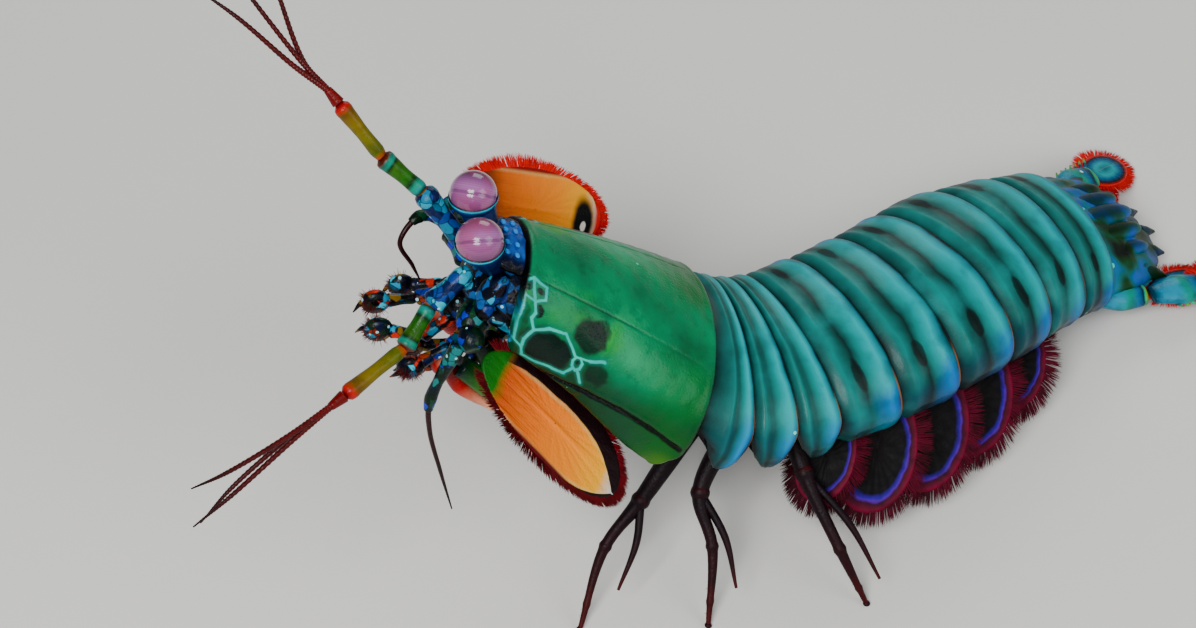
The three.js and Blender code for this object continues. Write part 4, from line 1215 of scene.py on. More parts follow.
@dataclass
class Somite:
    """One ring of the body: an arched back plate over a soft belly, lobed at its sides on the chest."""

    name: str
    start: float
    end: float
    lobed: bool
    lead: float = 0.0
    rows: int = 30
    columns: int = 150
    belly_columns: int = 30

    def back(self, v: Array, angle: Array) -> Array:
        """The back plate's points.

        Args:
            v: Shares of the ring's length, one a row.
            angle: Degrees from the middle of the back, one a column.

        Returns:
            The points.
        """
        middle, half = (self.start + self.end) / 2, (self.end - self.start) / 2
        past = np.clip(np.abs(angle) - LOBE_ANGLE, 0, None) / (SHELL_SIDE - LOBE_ANGLE)
        squeeze, puff = np.ones_like(past), 0.0
        if self.lobed:
            squeeze = np.sqrt(1 - 0.86 * past**4) * (1 - 0.32 * smooth(past, 0, 0.6))
            puff = 0.32 * smooth(past, 0, 1) * (1 - (2 * v - 1) ** 2)
        lip = half - GAP / 2 + 0.28 * smooth(v)
        collar = self.lead * (1 - smooth(v, 0, 0.2)) * (1 - smooth(past, 0.1, 0.6))
        s = middle + (v * 2 - 1) * lip * squeeze - collar
        inset = 1.1 * (1 - smooth(v, 0.0, 0.24)) + 0.42 * smooth(v, 0.93, 1.0) ** 2
        inset = inset + 0.25 * collar
        inset = inset - 0.16 * bell(v, 0.84, 0.1) + 0.1 * bell(v, 0.34, 0.09)
        inset = inset + 0.14 * bell(np.abs(angle), 97, 5) * bell(v, 0.5, 0.5)
        return SPINE.shell(s, angle, inset - puff)

    def belly(self, v: Array, knots: Array) -> Array:
        """The belly's points, from the right edge of the back plate to the left one.

        Args:
            v: Shares of the ring's length, one a row.
            knots: Places in the belly's section, by the number of the knot.

        Returns:
            The points.
        """
        middle, half = (self.start + self.end) / 2, (self.end - self.start) / 2
        s = middle + (v * 2 - 1) * (half - GAP / 2) * (0.6 if self.lobed else 1)
        x = look_up([(k, x) for k, (x, _) in enumerate(BELLY)], knots)[None] * (SPINE.half_width(s) - 0.3)
        z = look_up([(k, z) for k, (_, z) in enumerate(BELLY)], knots)[None] * SPINE.height(s)
        z = z + 0.5 * bell(v, 0.0, 0.1) + 0.5 * bell(v, 1.0, 0.1)
        return SPINE.at(s[:, 0]).section(x, z)

    def build(self) -> None:
        """Makes the ring, whose u is 0 to 1 over the back and beyond it on the belly."""
        v = np.linspace(0, 1, self.rows)[:, None]
        angle = np.linspace(-SHELL_SIDE, SHELL_SIDE, self.columns)
        knots = np.linspace(0, len(BELLY) - 1, self.belly_columns)
        points = np.concatenate([self.back(v, angle[None]), self.belly(v, knots)], 1)
        u = np.concatenate([angle / SHELL_SPAN + 0.5, 1.06 + 0.2 * knots / knots[-1]])
        form = Form()
        form.grid(points, together(u[None], v), ring=True, close=True)
        form.build("ring_" + self.name, "somites", [self.name], [CHEST if self.lobed else RINGS])


@dataclass
class Carapace:
    """The shield over the head and chest, with grooves, rims and a lower strip that flares to the rear."""

    rows: int = 110
    columns: int = 220
    flap: float = 0.1
    flare: float = 1.7

    def relief(self, s: Array, share: Array, angle: Array, flank: Array) -> Array:
        """The depth of grooves, seams, rims and dimples under the smooth shell.

        Args:
            s: Distance behind the carapace's rear edge.
            share: Share of the carapace's length.
            angle: Degrees from the middle of the back.
            flank: Share of the way to the lower edge, before the strip is widened.

        Returns:
            The depth, below 0 where the shell is raised.
        """
        side = np.abs(angle)
        groove = look_up([(share_at, angle_at) for angle_at, share_at in SIDE_GROOVE], share)
        inside = smooth(share, 0.18, 0.3) * (1 - smooth(share, 0.9, 0.99))
        inset = 0.5 * bell(side, groove, 1.5) * inside
        inset = inset - 0.16 * bell(side, groove - 4.5, 2.6) * inside
        seam = smooth(share, 0.05, 0.2) * (1 - smooth(share, 0.85, 0.97))
        inset = inset + 0.13 * bell(side, SEAM_ANGLE, 0.9) * seam
        cervical = 0.42 + 0.1 * (1 - flank)
        inset = inset + 0.1 * bell(share, cervical, 0.018) * smooth(side, 38, 60)
        inset = inset - 0.12 * bell(share, 0.975, 0.012) - 0.14 * bell(share, 0.03, 0.016)
        inset = inset + 0.32 * smooth(share, 0.985, 1) ** 2 + 0.3 * (1 - smooth(share, 0, 0.016)) ** 2
        inset = inset + 0.35 * smooth(flank, 0.97, 1) ** 2
        return inset + 0.035 * np.sin(s * 2.1 + angle * 0.09) * np.sin(angle * 0.21 - s * 0.7)

    def sheet(self, depth: float) -> tuple[Array, Array]:
        """Works out the outer or the inner surface.

        Args:
            depth: How far the sheet lies under the outer one.

        Returns:
            The points and their marks.
        """
        share = np.linspace(0, 1, self.rows)[:, None]
        angle = np.linspace(-SHELL_SIDE, SHELL_SIDE, self.columns)[None]
        flank = np.abs(angle) / SHELL_SIDE
        angle = angle * (1 + self.flap * smooth(share, 0.3, 0.95) * smooth(flank, 0.8, 1))
        front = -CARAPACE_LENGTH + 3.2 * flank**3
        corner = smooth(np.abs(angle), 96, SHELL_SIDE)
        rear = -0.6 + 1.6 * flank**4 - 1.1 * corner**2 - 1.5 * smooth(flank, 0.9, 1) ** 2
        s = front + (rear - front) * share
        swell = self.flare * smooth(flank, 0.84, 1) * smooth(share, 0.25, 1)
        points = SPINE.shell(s, angle, (depth or self.relief(s, share, angle, flank)) - swell)
        return points, together(angle / SHELL_SPAN + 0.5, share)

    def build(self) -> None:
        """Makes the shield as one closed shell."""
        outer, marks = self.sheet(0.0)
        inner, _ = self.sheet(SHELL_THICKNESS)
        form = Form()
        form.grid(outer, marks)
        form.grid(inner[::2, ::2], marks[::2, ::2])
        form.rims(outer, inner, marks)
        form.build("carapace_shell", "carapace", ["carapace"], [EMERALD])


@dataclass
class Head:
    """The soft head and chest under the carapace, with the rostral plate, eyestalks and eyes.

    The flesh is rows of distance behind the carapace and share of the full size, and its lumps are places and
    half sizes. The eyes' upper poles lean back and turn to the side, in degrees.
    """

    rows: tuple[tuple[float, float], ...] = (
        (-33, 0.55), (-31.5, 0.78), (-29, 0.92), (-22, 1), (-12, 1), (-4, 0.92), (1, 0.86), (2.1, 0.84),
    )
    depth: float = 5.6
    lip: tuple[Point, Point] = ((0, 0.5, -5.5), (3.4, 3, 2.4))
    lumps: tuple[tuple[Point, Point, int, int], ...] = (
        ((1.5, 1.6, -6.6), (1.1, 1.4, 1.5), 12, 18),
        ((4.4, 1.6, 1.4), (2.0, 1.5, 2.9), 18, 26),
        ((5.4, 1.0, -1.2), (1.5, 1.3, 1.7), 14, 20),
    )
    plate_half: float = 4.6
    plate_length: float = 4.2
    plate_root: float = 0.35
    plate_thickness: float = 0.9
    bead: Point = (0.42, 0.42, 0.22)
    eye: Point = (4.05, 8.1, 7.1)
    eye_radius: float = 3.0
    eye_lean: float = 48.2
    eye_turns: dict[Side, float] = sided(-6, 16)
    stem: tuple[Point, ...] = ((1.9, 2.2, 3.2), (2.9, 4.8, 4.6), (3.9, 7.1, 6.3))

    def flesh(self) -> None:
        """Makes the flesh, the lips and the jaws."""
        form = Form()
        inset = SHELL_THICKNESS + GAP
        s = np.linspace(self.rows[0][0], self.rows[-1][0], 60)
        size = look_up(self.rows, s)[:, None]
        a = full_turn(64)
        low = np.cos(a) < 0
        folds = 0.22 * np.sin(s * 3.1)[:, None] * low
        x = (SPINE.half_width(s)[:, None] - inset) * size * np.sin(a) * np.where(low, 0.9, 1)
        z = np.cos(a) * np.where(low, self.depth * size + folds, (SPINE.height(s)[:, None] - inset) * size)
        marks = together(a / TURN, (s[:, None] + 33) / 35)
        form.grid(SPINE.at(s).section(x, z), marks, ring=True, close=True)
        form.ball(HEAD, HEAD.spot(*self.lip[0]), self.lip[1], 18, 28)
        for side in Side:
            for middle, half_sizes, rows, wide in self.lumps:
                form.ball(HEAD, HEAD.on(side, middle), half_sizes, rows, wide)
        form.build("head_flesh", "flesh", ["cephalothorax"], [HEAD_FLESH])

    def _plate(self, x: Numbers, share: Numbers, sunk: Numbers) -> Array:
        """Places of the rostral plate.

        Args:
            x: Share of the half width, to the right.
            share: Share of the length, forwards.
            sunk: Depth under the front of the carapace.

        Returns:
            The points.
        """
        half = self.plate_half * np.sqrt(1 - (0.88 * share) ** 3)
        height = CARAPACE_FRONT_HEIGHT - sunk - 0.9 * x**2 - 0.9 * share**2
        return HEAD.spot(x * half, share * self.plate_length + self.plate_root, height)

    def rostrum(self) -> None:
        """Makes the rostral plate, a rounded shield over the eyestalks with raised beads."""
        share = np.linspace(0, 1, 40)[:, None]
        x = np.linspace(-1, 1, 60)[None]
        edge = 0.35 * (smooth(np.abs(x), 0.86, 1) + smooth(share, 0.88, 1))
        keel = 0.22 * bell(x, 0, 0.12) + 0.12 * np.sin(x * 14) * np.sin(share * 16)
        top = self._plate(x, share, 0.5 + edge - keel)
        under = self._plate(x, share, 0.5 + self.plate_thickness)
        marks = together(x * 0.5 + 0.5, np.maximum(np.abs(x), share))
        form = Form()
        form.grid(top, marks)
        form.grid(under, marks)
        form.rims(top, under, marks)
        for a in (-0.6, -0.25, 0.25, 0.6):
            for b in (0.3, 0.62):
                form.ball(HEAD, self._plate(a, b, 0.42), self.bead, 8, 12, finish=1)
        form.build("rostral_shield", "rostral_plate", ["rostral_plate"], [ROSTRUM_BLUE, ROSTRUM_BEAD])

    def eyes(self) -> None:
        """Makes both eyes and the stalks that cup them."""
        lean = math.radians(self.eye_lean)
        upper = Vector((0, math.sin(lean), math.cos(lean)))
        for side in Side:
            centre = HEAD.on(side, self.eye)
            turn = Matrix.Rotation(math.radians(self.eye_turns[side]), 3, "Y")
            up = unit(np.array(turn @ upper))
            look = unit(HEAD.direction(side.value * 0.25, 0.75, 0.55))
            right = unit(np.cross(look, up))
            own = Place(centre, right, -unit(np.cross(up, right)), up)
            form = Form()
            form.ball(own, centre, (self.eye_radius,) * 3, 72, 96, shape=self._band)
            form.build(f"cornea_{side}", "eyes", [f"eye_{side}"], [CORNEA])
            self._stalk(side, centre)

    @staticmethod
    def _band(latitude: Array) -> Array:
        """The eye's radius, which is a little less round its middle."""
        return 1 - 0.02 * bell(latitude, 0, 0.05)

    def _stalk(self, side: Side, centre: Array) -> None:
        """Makes one stalk: a stem, a swelling and a rimmed cup behind the cornea.

        Args:
            side: The animal's side.
            centre: The eye's middle.
        """
        form = Form()
        path = smooth_path([HEAD.on(side, p) for p in self.stem], 18)
        form.tube(path, smooth_radii((1.7, 2.0, 2.5), 18), 24, span=(0, 0.6))
        axis = unit(HEAD.direction(side.value * 0.1, 0.62, 0.78))
        a = unit(np.cross(axis, HEAD.right))
        b = np.cross(axis, a)
        theta = np.linspace(0.12, 1.52, 26)[:, None]
        turn = full_turn(40)
        radius = self.eye_radius + 0.08 + 0.1 * bell(theta, 1.42, 0.12)
        ring = radius * np.sin(theta)
        behind = centre - axis * (radius * np.cos(theta))[..., None]
        cup = behind + ((ring * np.cos(turn))[..., None] * a + (ring * np.sin(turn))[..., None] * b)
        form.grid(cup, together(turn / TURN, theta / theta[-1]), ring=True, close=True)
        form.build(f"stalk_{side}", "eyestalks", [f"eyestalk_{side}"], [STALK])

    def build(self) -> None:
        """Makes the whole head."""
        self.flesh()
        self.rostrum()
        self.eyes()


def segment(form: Form, start: Array, end: Array, radius: float, finish: int = 0,
            span: tuple[float, float] = (0.0, 1.0)) -> None:
    """Adds one jointed length of a limb: swollen at its ends, waisted, and closed by round knuckles.

    Args:
        form: The piece.
        start: Where it starts.
        end: Where it ends.
        radius: Its radius at its thickest.
        finish: The material's number in the piece's list.
        span: The v at its two ends.
    """
    t = np.linspace(0, 1, 34)
    path = start + (end - start) * (-0.05 + 1.1 * t)[:, None]
    if np.linalg.norm(end - start) < 2.2 * radius:
        profile = 0.7 + 0.3 * np.sin(math.pi * t) ** 0.8
    else:
        profile = 0.58 + 0.36 * smooth(t, 0, 0.2) - 0.1 * bell(t, 0.45, 0.25) + 0.08 * smooth(t, 0.5, 0.85)
        profile = (profile + 0.07 * bell(t, 0.88, 0.04)) * (1 - 0.5 * smooth(t, 0.93, 1.0))
    form.tube(path, radius * profile, 22, finish=finish, span=span)


@dataclass
class Antennules:
    """The pair of three-whipped antennules on their jointed stalks, each side by its own points."""

    stalks: dict[Side, tuple[Point, ...]] = sided(
        ((-1.9, 4.4, 0.4), (-4.6, 6.6, -4.6), (-8.4, 7.3, -9.6), (-14, 12.4, -15.5)),
        ((1.9, 4.6, 0.9), (3.6, 13.7, 4.3), (6, 20.1, 4.6), (9.5, 27.5, 6.3)),
    )
    whips: dict[Side, tuple[tuple[Point, ...], ...]] = sided(
        (
            ((-19, 16.6, -21.2), (-25, 21.3, -28.4), (-28.5, 24.4, -32.2)),
            ((-19.4, 17.8, -20.6), (-24.6, 24, -25.4), (-28, 28.4, -26.8)),
            ((-17.8, 16.4, -22.2), (-21.6, 19.6, -30.2), (-23.6, 20.4, -36)),
        ),
        (
            ((13, 34, 7.2), (17, 42.2, 9.2), (19.5, 47.2, 10.6)),
            ((13.4, 33, 6.8), (17.5, 39.2, 10.7), (20, 42.8, 13.4)),
            ((12.2, 34.6, 6.6), (15.4, 43, 7), (17.6, 49, 6.6)),
        ),
    )
    radii: tuple[float, float, float] = (1.45, 1.2, 1.05)
    whip_radii: tuple[float, ...] = (0.5, 0.46, 0.36, 0.3, 0.1)
    whip_rings: int = 55

    def build(self) -> None:
        """Makes the stalks and the ringed whips of both sides."""
        for side in Side:
            points = [HEAD.spot(*p) for p in self.stalks[side]]
            form = Form()
            for k, radius in enumerate(self.radii):
                segment(form, points[k], points[k + 1], radius, finish=k)
            form.build(f"antennule_stalk_{side}", "antennules", [f"antennule_{side}"],
                       [ANTENNULE_BASE, ANTENNULE_MIDDLE, ANTENNULE_END])
            self._whips(side, points[3], unit(points[3] - points[2]))

    def _whips(self, side: Side, end: Array, heading: Array) -> None:
        """Makes one side's knuckle and its three whips, ringed all the way.

        Args:
            side: The animal's side.
            end: The stalk's end.
            heading: Where the stalk points there.
        """
        form = Form()
        knuckle = end + heading * np.linspace(0.5, 2.6, 10)[:, None]
        form.tube(knuckle, np.linspace(0.85, 0.55, 10), 14, span=(0, 0.1))
        count = 4 * self.whip_rings
        rings = 1 + 0.1 * np.sin(np.linspace(0, 2 * self.whip_rings * math.pi, count))
        for whip in self.whips[side]:
            route = [end + heading * 0.95, end + heading * 2.2, *(HEAD.spot(*p) for p in whip)]
            radii = smooth_radii(self.whip_radii, count) * rings
            form.tube(smooth_path(route, count), radii, 8, normal=HEAD.right)
        form.build(f"antennule_threads_{side}", "whips", [f"antennule_whips_{side}"], [WHIP])


@dataclass
class Blade:
    """A thin leaf on an oval outline, thick in its middle, with bristles along its rim.

    Thickness is in the middle and edge at the rim. Shape is how much wider it is near its root than near its
    tip, and cup is how far its edges bend up.
    """

    root: Array
    along: Array
    across: Array
    length: float
    width: float
    thickness: float
    shape: float
    cup: float
    edge: float = 0.4

    def __post_init__(self) -> None:
        """Squares the leaf's directions to each other."""
        self.along = unit(self.along)
        self.across = unit(self.across - self.along * float(np.dot(self.across, self.along)))
        self.face = np.cross(self.along, self.across)

    def rim(self, turn: Array, reach: Numbers = 1.0, lift: Numbers = 0.0) -> Array:
        """Points inside, on or outside the outline.

        Args:
            turn: Angle round the outline, 0 at the root.
            reach: Distance from the middle, 1 on the outline.
            lift: Height over the middle sheet.

        Returns:
            The points.
        """
        c, w = np.cos(turn + math.pi), np.sin(turn + math.pi)
        x = self.length / 2 * (1 + c * reach)
        y = self.width / 2 * w * (1 - 0.28 * self.shape * c) * reach
        dish = self.cup * (2 * y / self.width) ** 2
        return (
            self.root + x[..., None] * self.along + y[..., None] * self.across
            + (lift + dish)[..., None] * self.face
        )

    def faces(self, form: Form, rings: int, wide: int, ribs: float = 0.06, finish: int = 0,
              radial: bool = True) -> None:
        """Adds both faces of the leaf, with fine ribs.

        Args:
            form: The piece.
            rings: Rings from the middle to the rim.
            wide: Points round each ring.
            ribs: Height of the ribs.
            finish: The material's number in the piece's list.
            radial: Whether v is the distance from the middle, instead of the place across.
        """
        reach = np.linspace(0.01, 1, rings)[:, None]
        turn = full_turn(wide)
        thick = self.edge / 2 + (self.thickness - self.edge) / 2 * (1 - reach**2)
        vein = ribs * np.abs(np.sin(turn * 11)) * smooth(reach, 0.1, 0.5) * (1 - smooth(reach, 0.9, 1))
        middle_rib = 0.18 * np.exp(-((np.sin(turn) * reach / 0.07) ** 2)) * (1 - reach)
        across = reach if radial else np.sin(turn + math.pi) * reach
        marks = together(0.5 + 0.5 * np.cos(turn + math.pi) * reach, across)
        for sign in (1, -1):
            form.grid(self.rim(turn, reach, sign * (thick + vein + middle_rib)), marks, finish, ring=True)
        outline = np.stack([self.rim(turn[0], 1.0, np.full(wide, s * self.edge / 2)) for s in (1, -1)])
        form.grid(outline, np.stack([marks[-1], marks[-1]]), finish, ring=True)

    def fringe(self, form: Form, count: int, length: float, width: float, bare: float, seed: int) -> None:
        """Adds bristles round the rim, apart from the bare stretch at the root.

        Args:
            form: The piece.
            count: How many bristles.
            length: Their length.
            width: Their thickness.
            bare: Share of a half turn at the root with no bristles.
            seed: Starts the random spread.
        """
        random = np.random.default_rng(seed)
        turn = np.sort(random.uniform(bare * math.pi, (2 - bare) * math.pi, count))
        roots = self.rim(turn, 0.985, random.uniform(-0.4, 0.4, count) * self.edge)
        level = np.zeros(count)
        out = self.rim(turn, 1.12, level) - self.rim(turn, 0.985, level)
        ways = unit(out) + 0.35 * self.along + random.normal(0, 0.07, (count, 3))
        lengths = length * random.uniform(0.75, 1.1, count)
        marks = 0.5 + 0.48 * together(np.cos(turn + math.pi), np.sin(turn + math.pi))
        form.strands(roots, ways, lengths, width, marks)


@dataclass
class Antennae:
    """The pair of antennae: jointed bases, thin threads and the great fringed scales.

    A scale is given by its root, its direction and the direction across it.
    """

    bases: dict[Side, tuple[Point, ...]] = sided(
        ((-3.6, 1, -2.6), (-6.8, 1.4, -4), (-9.2, 0.4, -4.6)),
        ((3.6, 1, -2.6), (8, 3, -2.2), (12.4, 3.2, -1.6)),
    )
    threads: dict[Side, tuple[Point, ...]] = sided(
        (
            (-8.6, 2, -5.6), (-9.6, -0.6, -14.8), (-10, -3.8, -19.1), (-10.4, -9.5, -24.3),
            (-10.8, -15.4, -29.4),
        ),
        ((8.4, 4, -1.6), (6, 10, -1.4), (4, 10.6, -4.6), (3.6, 7, -6.8), (3, 4.9, -8)),
    )
    scales: dict[Side, tuple[Point, Point, Point]] = sided(
        ((-9.8, -1.2, -4.6), (-0.25, -0.94, -0.2), (0.85, -0.3, 0.42)),
        ((13.2, 2.6, -1.2), (0.33, -0.94, 0), (0.72, 0.27, 0.64)),
    )
    base_radii: tuple[float, float] = (2.0, 1.7)
    thread_radii: tuple[float, ...] = (0.6, 0.42, 0.34, 0.28, 0.1)
    arm_radii: tuple[float, ...] = (1.0, 0.95, 0.7, 0.85, 0.6)
    thread_points: int = 160
    arm_points: int = 52
    length: float = 26.5
    width: float = 10.8
    thickness: float = 1.2
    bristles: int = 620
    bristle_length: float = 1.9

    def arm(self, side: Side) -> None:
        """Makes one side's jointed base and its thread, whose first part is a thicker arm.

        Args:
            side: The animal's side.
        """
        form = Form()
        points = [HEAD.spot(*p) for p in self.bases[side]]
        for start, end, radius in zip(points, points[1:], self.base_radii):
            segment(form, start, end, radius)
        route = smooth_path([HEAD.spot(*p) for p in self.threads[side]], self.thread_points)
        thin = smooth_radii(self.thread_radii, self.thread_points)
        form.tube(route, thin, 10, normal=HEAD.right, finish=1)
        thick = smooth_radii(self.arm_radii, self.arm_points)
        form.tube(route[: self.arm_points], thick, 14, normal=HEAD.right)
        form.build(f"antenna_arm_{side}", "antennae", [f"antenna_{side}"], [ANTENNA_SKIN, THREAD])

    def scale(self, side: Side) -> None:
        """Makes one side's great scale and the fringe round it.

        Args:
            side: The animal's side.
        """
        root, along, across = self.scales[side]
        blade = Blade(
            HEAD.spot(*root), HEAD.direction(*along), HEAD.direction(*across), self.length, self.width,
            self.thickness, shape=-0.25, cup=-side.value * 0.8,
        )
        skin, bristle = (SCALE_LEFT, FRINGE_DARK) if side is Side.LEFT else (SCALE_RIGHT, FRINGE_RED)
        leaf = Form()
        blade.faces(leaf, rings=40, wide=160, ribs=0.05, radial=False)
        leaf.build(f"scale_blade_{side}", "antennal_scales", [f"antennal_scale_{side}"], [skin])
        coat = Form()
        for layer in range(3):
            blade.fringe(coat, self.bristles, self.bristle_length, 0.16, 0.12, 10 + layer + side.value)
        coat.build(f"scale_fringe_{side}", "antennal_scales", [], [bristle], coat=True)

    def build(self) -> None:
        """Makes both antennae."""
        for side in Side:
            self.arm(side)
            self.scale(side)


@dataclass
class Claws:
    """The folded raptorial claws under the front of the carapace, by the right one's points."""

    arm: tuple[Point, ...] = ((4.6, -3, -6.3), (6.6, -9, -8.6), (7.6, -17, -8.4))
    hand: tuple[Point, ...] = ((7.9, -18.6, -10.4), (6.4, -12, -11.8), (4.9, -3.4, -11.6))
    club: tuple[Point, ...] = ((4.6, -1.6, -12), (5, -5.6, -14.5), (6.2, -11.4, -14.8))
    heel: Point = (4.5, -1.7, -12.9)
    heel_size: Point = (1.5, 1.6, 1.5)

    def build(self) -> None:
        """Makes arm, hand and club of both sides."""
        for side in Side:
            for name, route, radii, count, sides, finish in (
                ("arm", self.arm, (1.8, 2.4, 1.6), 40, 26, CLAW_SKIN),
                ("hand", self.hand, (1.3, 1.9, 1.4), 40, 26, CLAW_SKIN),
                ("club", self.club, (1.0, 1.1, 0.3), 36, 20, CLUB),
            ):
                form = Form()
                path = smooth_path([HEAD.on(side, p) for p in route], count)
                form.tube(path, smooth_radii(radii, count), sides)
                if name == "club":
                    form.ball(HEAD, HEAD.on(side, self.heel), self.heel_size, 18, 24)
                form.build(f"claw_{name}_skin_{side}", "claws", [f"claw_{name}_{side}"], [finish])


@dataclass(frozen=True)
class FeedingLimb:
    """One maxilliped: its path on the right side, its radii and its hand's radius."""

    name: str
    path: tuple[Point, Point, Point]
    radii: tuple[float, float]
    hand: float
    bristles: int = 160

    def build(self, side: Side, seed: int) -> None:
        """Makes the limb with its flat round hand, its hook and its bristles.

        Args:
            side: The animal's side.
            seed: Starts the random spread of the bristles.
        """
        root, elbow, wrist = (np.array([side.value * x, y, z]) for x, y, z in self.path)
        heading = unit(wrist - elbow)
        palm = wrist + heading * self.hand * 0.8
        tip = palm + heading * self.hand * 0.9
        hook = tip + np.array([-side.value * 0.4, 0.2, -self.hand * 0.9])
        root, elbow, wrist, palm, tip, hook = (HEAD.spot(*p) for p in (root, elbow, wrist, palm, tip, hook))
        form = Form()
        segment(form, root, elbow, self.radii[0], span=(0, 0.5))
        segment(form, elbow, wrist, self.radii[1], span=(0.3, 0.85))
        form.ball(HEAD, palm, (self.hand * 0.62, self.hand, self.hand), 18, 26)
        form.tube(smooth_path([palm, tip, hook], 20), smooth_radii((0.5, 0.42, 0.08), 20), 10,
                  normal=HEAD.right, span=(0.7, 1.0))
        form.build(f"{self.name}_skin_{side}", "feeding_limbs", [f"{self.name}_{side}"], [MOUTH])
        random = np.random.default_rng(seed)
        ways = unit(random.normal(0, 1, (self.bristles, 3)) + 1.1 * (tip - palm) / self.hand)
        coat = Form()
        coat.strands(palm + ways * self.hand * 0.72, ways, random.uniform(0.5, 1.1, self.bristles), 0.11,
                     0.5 + 0.4 * ways[:, :2])
        coat.build(f"{self.name}_bristles_{side}", "feeding_limbs", [], [FRINGE_DARK], coat=True)


FEEDING_LIMBS = (
    FeedingLimb("maxilliped_3", ((2.4, 1.2, -6.8), (3.2, 3, -11), (2.6, 6.4, -13)), (1.0, 0.85), 1.9),
    FeedingLimb("maxilliped_4", ((1.8, -1.8, -6.6), (5.4, 0.2, -8.8), (6.6, 2.6, -12.2)), (1.0, 0.85), 1.8),
    FeedingLimb("maxilliped_5", ((2, -6.4, -6), (1.7, -6.4, -13), (1.7, -2, -16.6)), (0.95, 0.8), 1.7),
)


@dataclass(frozen=True)
class Leg:
    """One walking leg with its slim side branch; its knee, shin and foot are in the frame's directions."""

    name: str
    at: float
    side: Side
    knee: Point
    shin: Point
    foot: Point
    bristles: int = 70

    def build(self, seed: int) -> None:
        """Makes the leg.

        Args:
            seed: Starts the random spread of the foot's bristles.
        """
        place = SPINE.at(self.at)
        knee, shin, foot = (np.array(p, float) for p in (self.knee, self.shin, self.foot))
        hip = place.spot(self.side.value * 5, 0, -2.4)
        sideways = np.array([1.0, 0, 0])
        form = Form()
        path = smooth_path([hip, knee, shin, foot + np.array([0, 0, 0.3])], 90)
        t = np.linspace(0, 1, len(path))
        radii = smooth_radii((1.7, 1.1, 0.75, 0.32), len(path))
        joints = sum(bell(t, at, 0.014) for at in (0.34, 0.66, 0.9))
        form.tube(path, radii * (1 + 0.22 * joints - 0.1 * bell(t, 0.5, 0.1)), 18, normal=sideways)
        form.ball(place, knee, (1.3, 1.3, 1.3), 14, 20)
        twig_end = shin + (foot - shin) * 0.5 + np.array([3.4, 0.6 * self.side.value, 0.6])
        middle = knee + (twig_end - knee) * 0.5 + np.array([0.9, 0, 0.5])
        twig = smooth_path([knee, middle, twig_end], 50)
        form.tube(twig, smooth_radii((0.6, 0.5, 0.2), 50), 12, normal=sideways)
        form.ball(place, foot + np.array([0, 0, 0.36]), (0.5, 0.5, 0.36), 10, 14)
        form.build("leg_skin_" + self.name, "legs", [self.name], [LEG_SKIN])
        random = np.random.default_rng(seed)
        share = random.uniform(0.72, 0.97, self.bristles)
        roots = np.stack([np.interp(share, t, path[:, k]) for k in range(3)], -1)
        ways = random.normal(0, 0.5, (self.bristles, 3)) + unit(foot - shin)
        coat = Form()
        coat.strands(roots, ways, random.uniform(0.5, 1.0, self.bristles), 0.1, together(share, share))
        coat.build("leg_bristles_" + self.name, "legs", [], [FRINGE_DARK], coat=True)


LEGS = (
    Leg("leg_1_left", 5, Side.LEFT, (-3.9, -11.9, 12.5), (-8.6, -16.2, 8), (-11.9, -23.9, 0)),
    Leg("leg_1_right", 5, Side.RIGHT, (-2.4, 10.6, 13.6), (-8, 16, 8), (-13, 22, 0)),
    Leg("leg_2_left", 10, Side.LEFT, (3.9, -11, 13), (5.5, -16.2, 8), (5, -23.2, 0)),
    Leg("leg_2_right", 10, Side.RIGHT, (3, 12.6, 13.6), (-1, 19, 8), (-4, 26, 0)),
    Leg("leg_3_left", 15, Side.LEFT, (17.6, -8.4, 14), (22.4, -16, 7), (26, -19.6, 0)),
    Leg("leg_3_right", 15, Side.RIGHT, (7.6, 15, 13.6), (5, 22, 7.6), (3, 29, 0)),
)


@dataclass(frozen=True)
class FlapBeat:
    """How one side's flaps are held, and how much of their length they are drawn in to."""

    along: Point
    across: Point
    share: float


FLAP_BEATS = {
    Side.LEFT: FlapBeat((-0.5, 0.54, -0.64), (-0.67, -0.74, 0), 1.0),
    Side.RIGHT: FlapBeat((0.68, -0.2, -0.7), (0.5, 0.8, 0), 0.82),
}


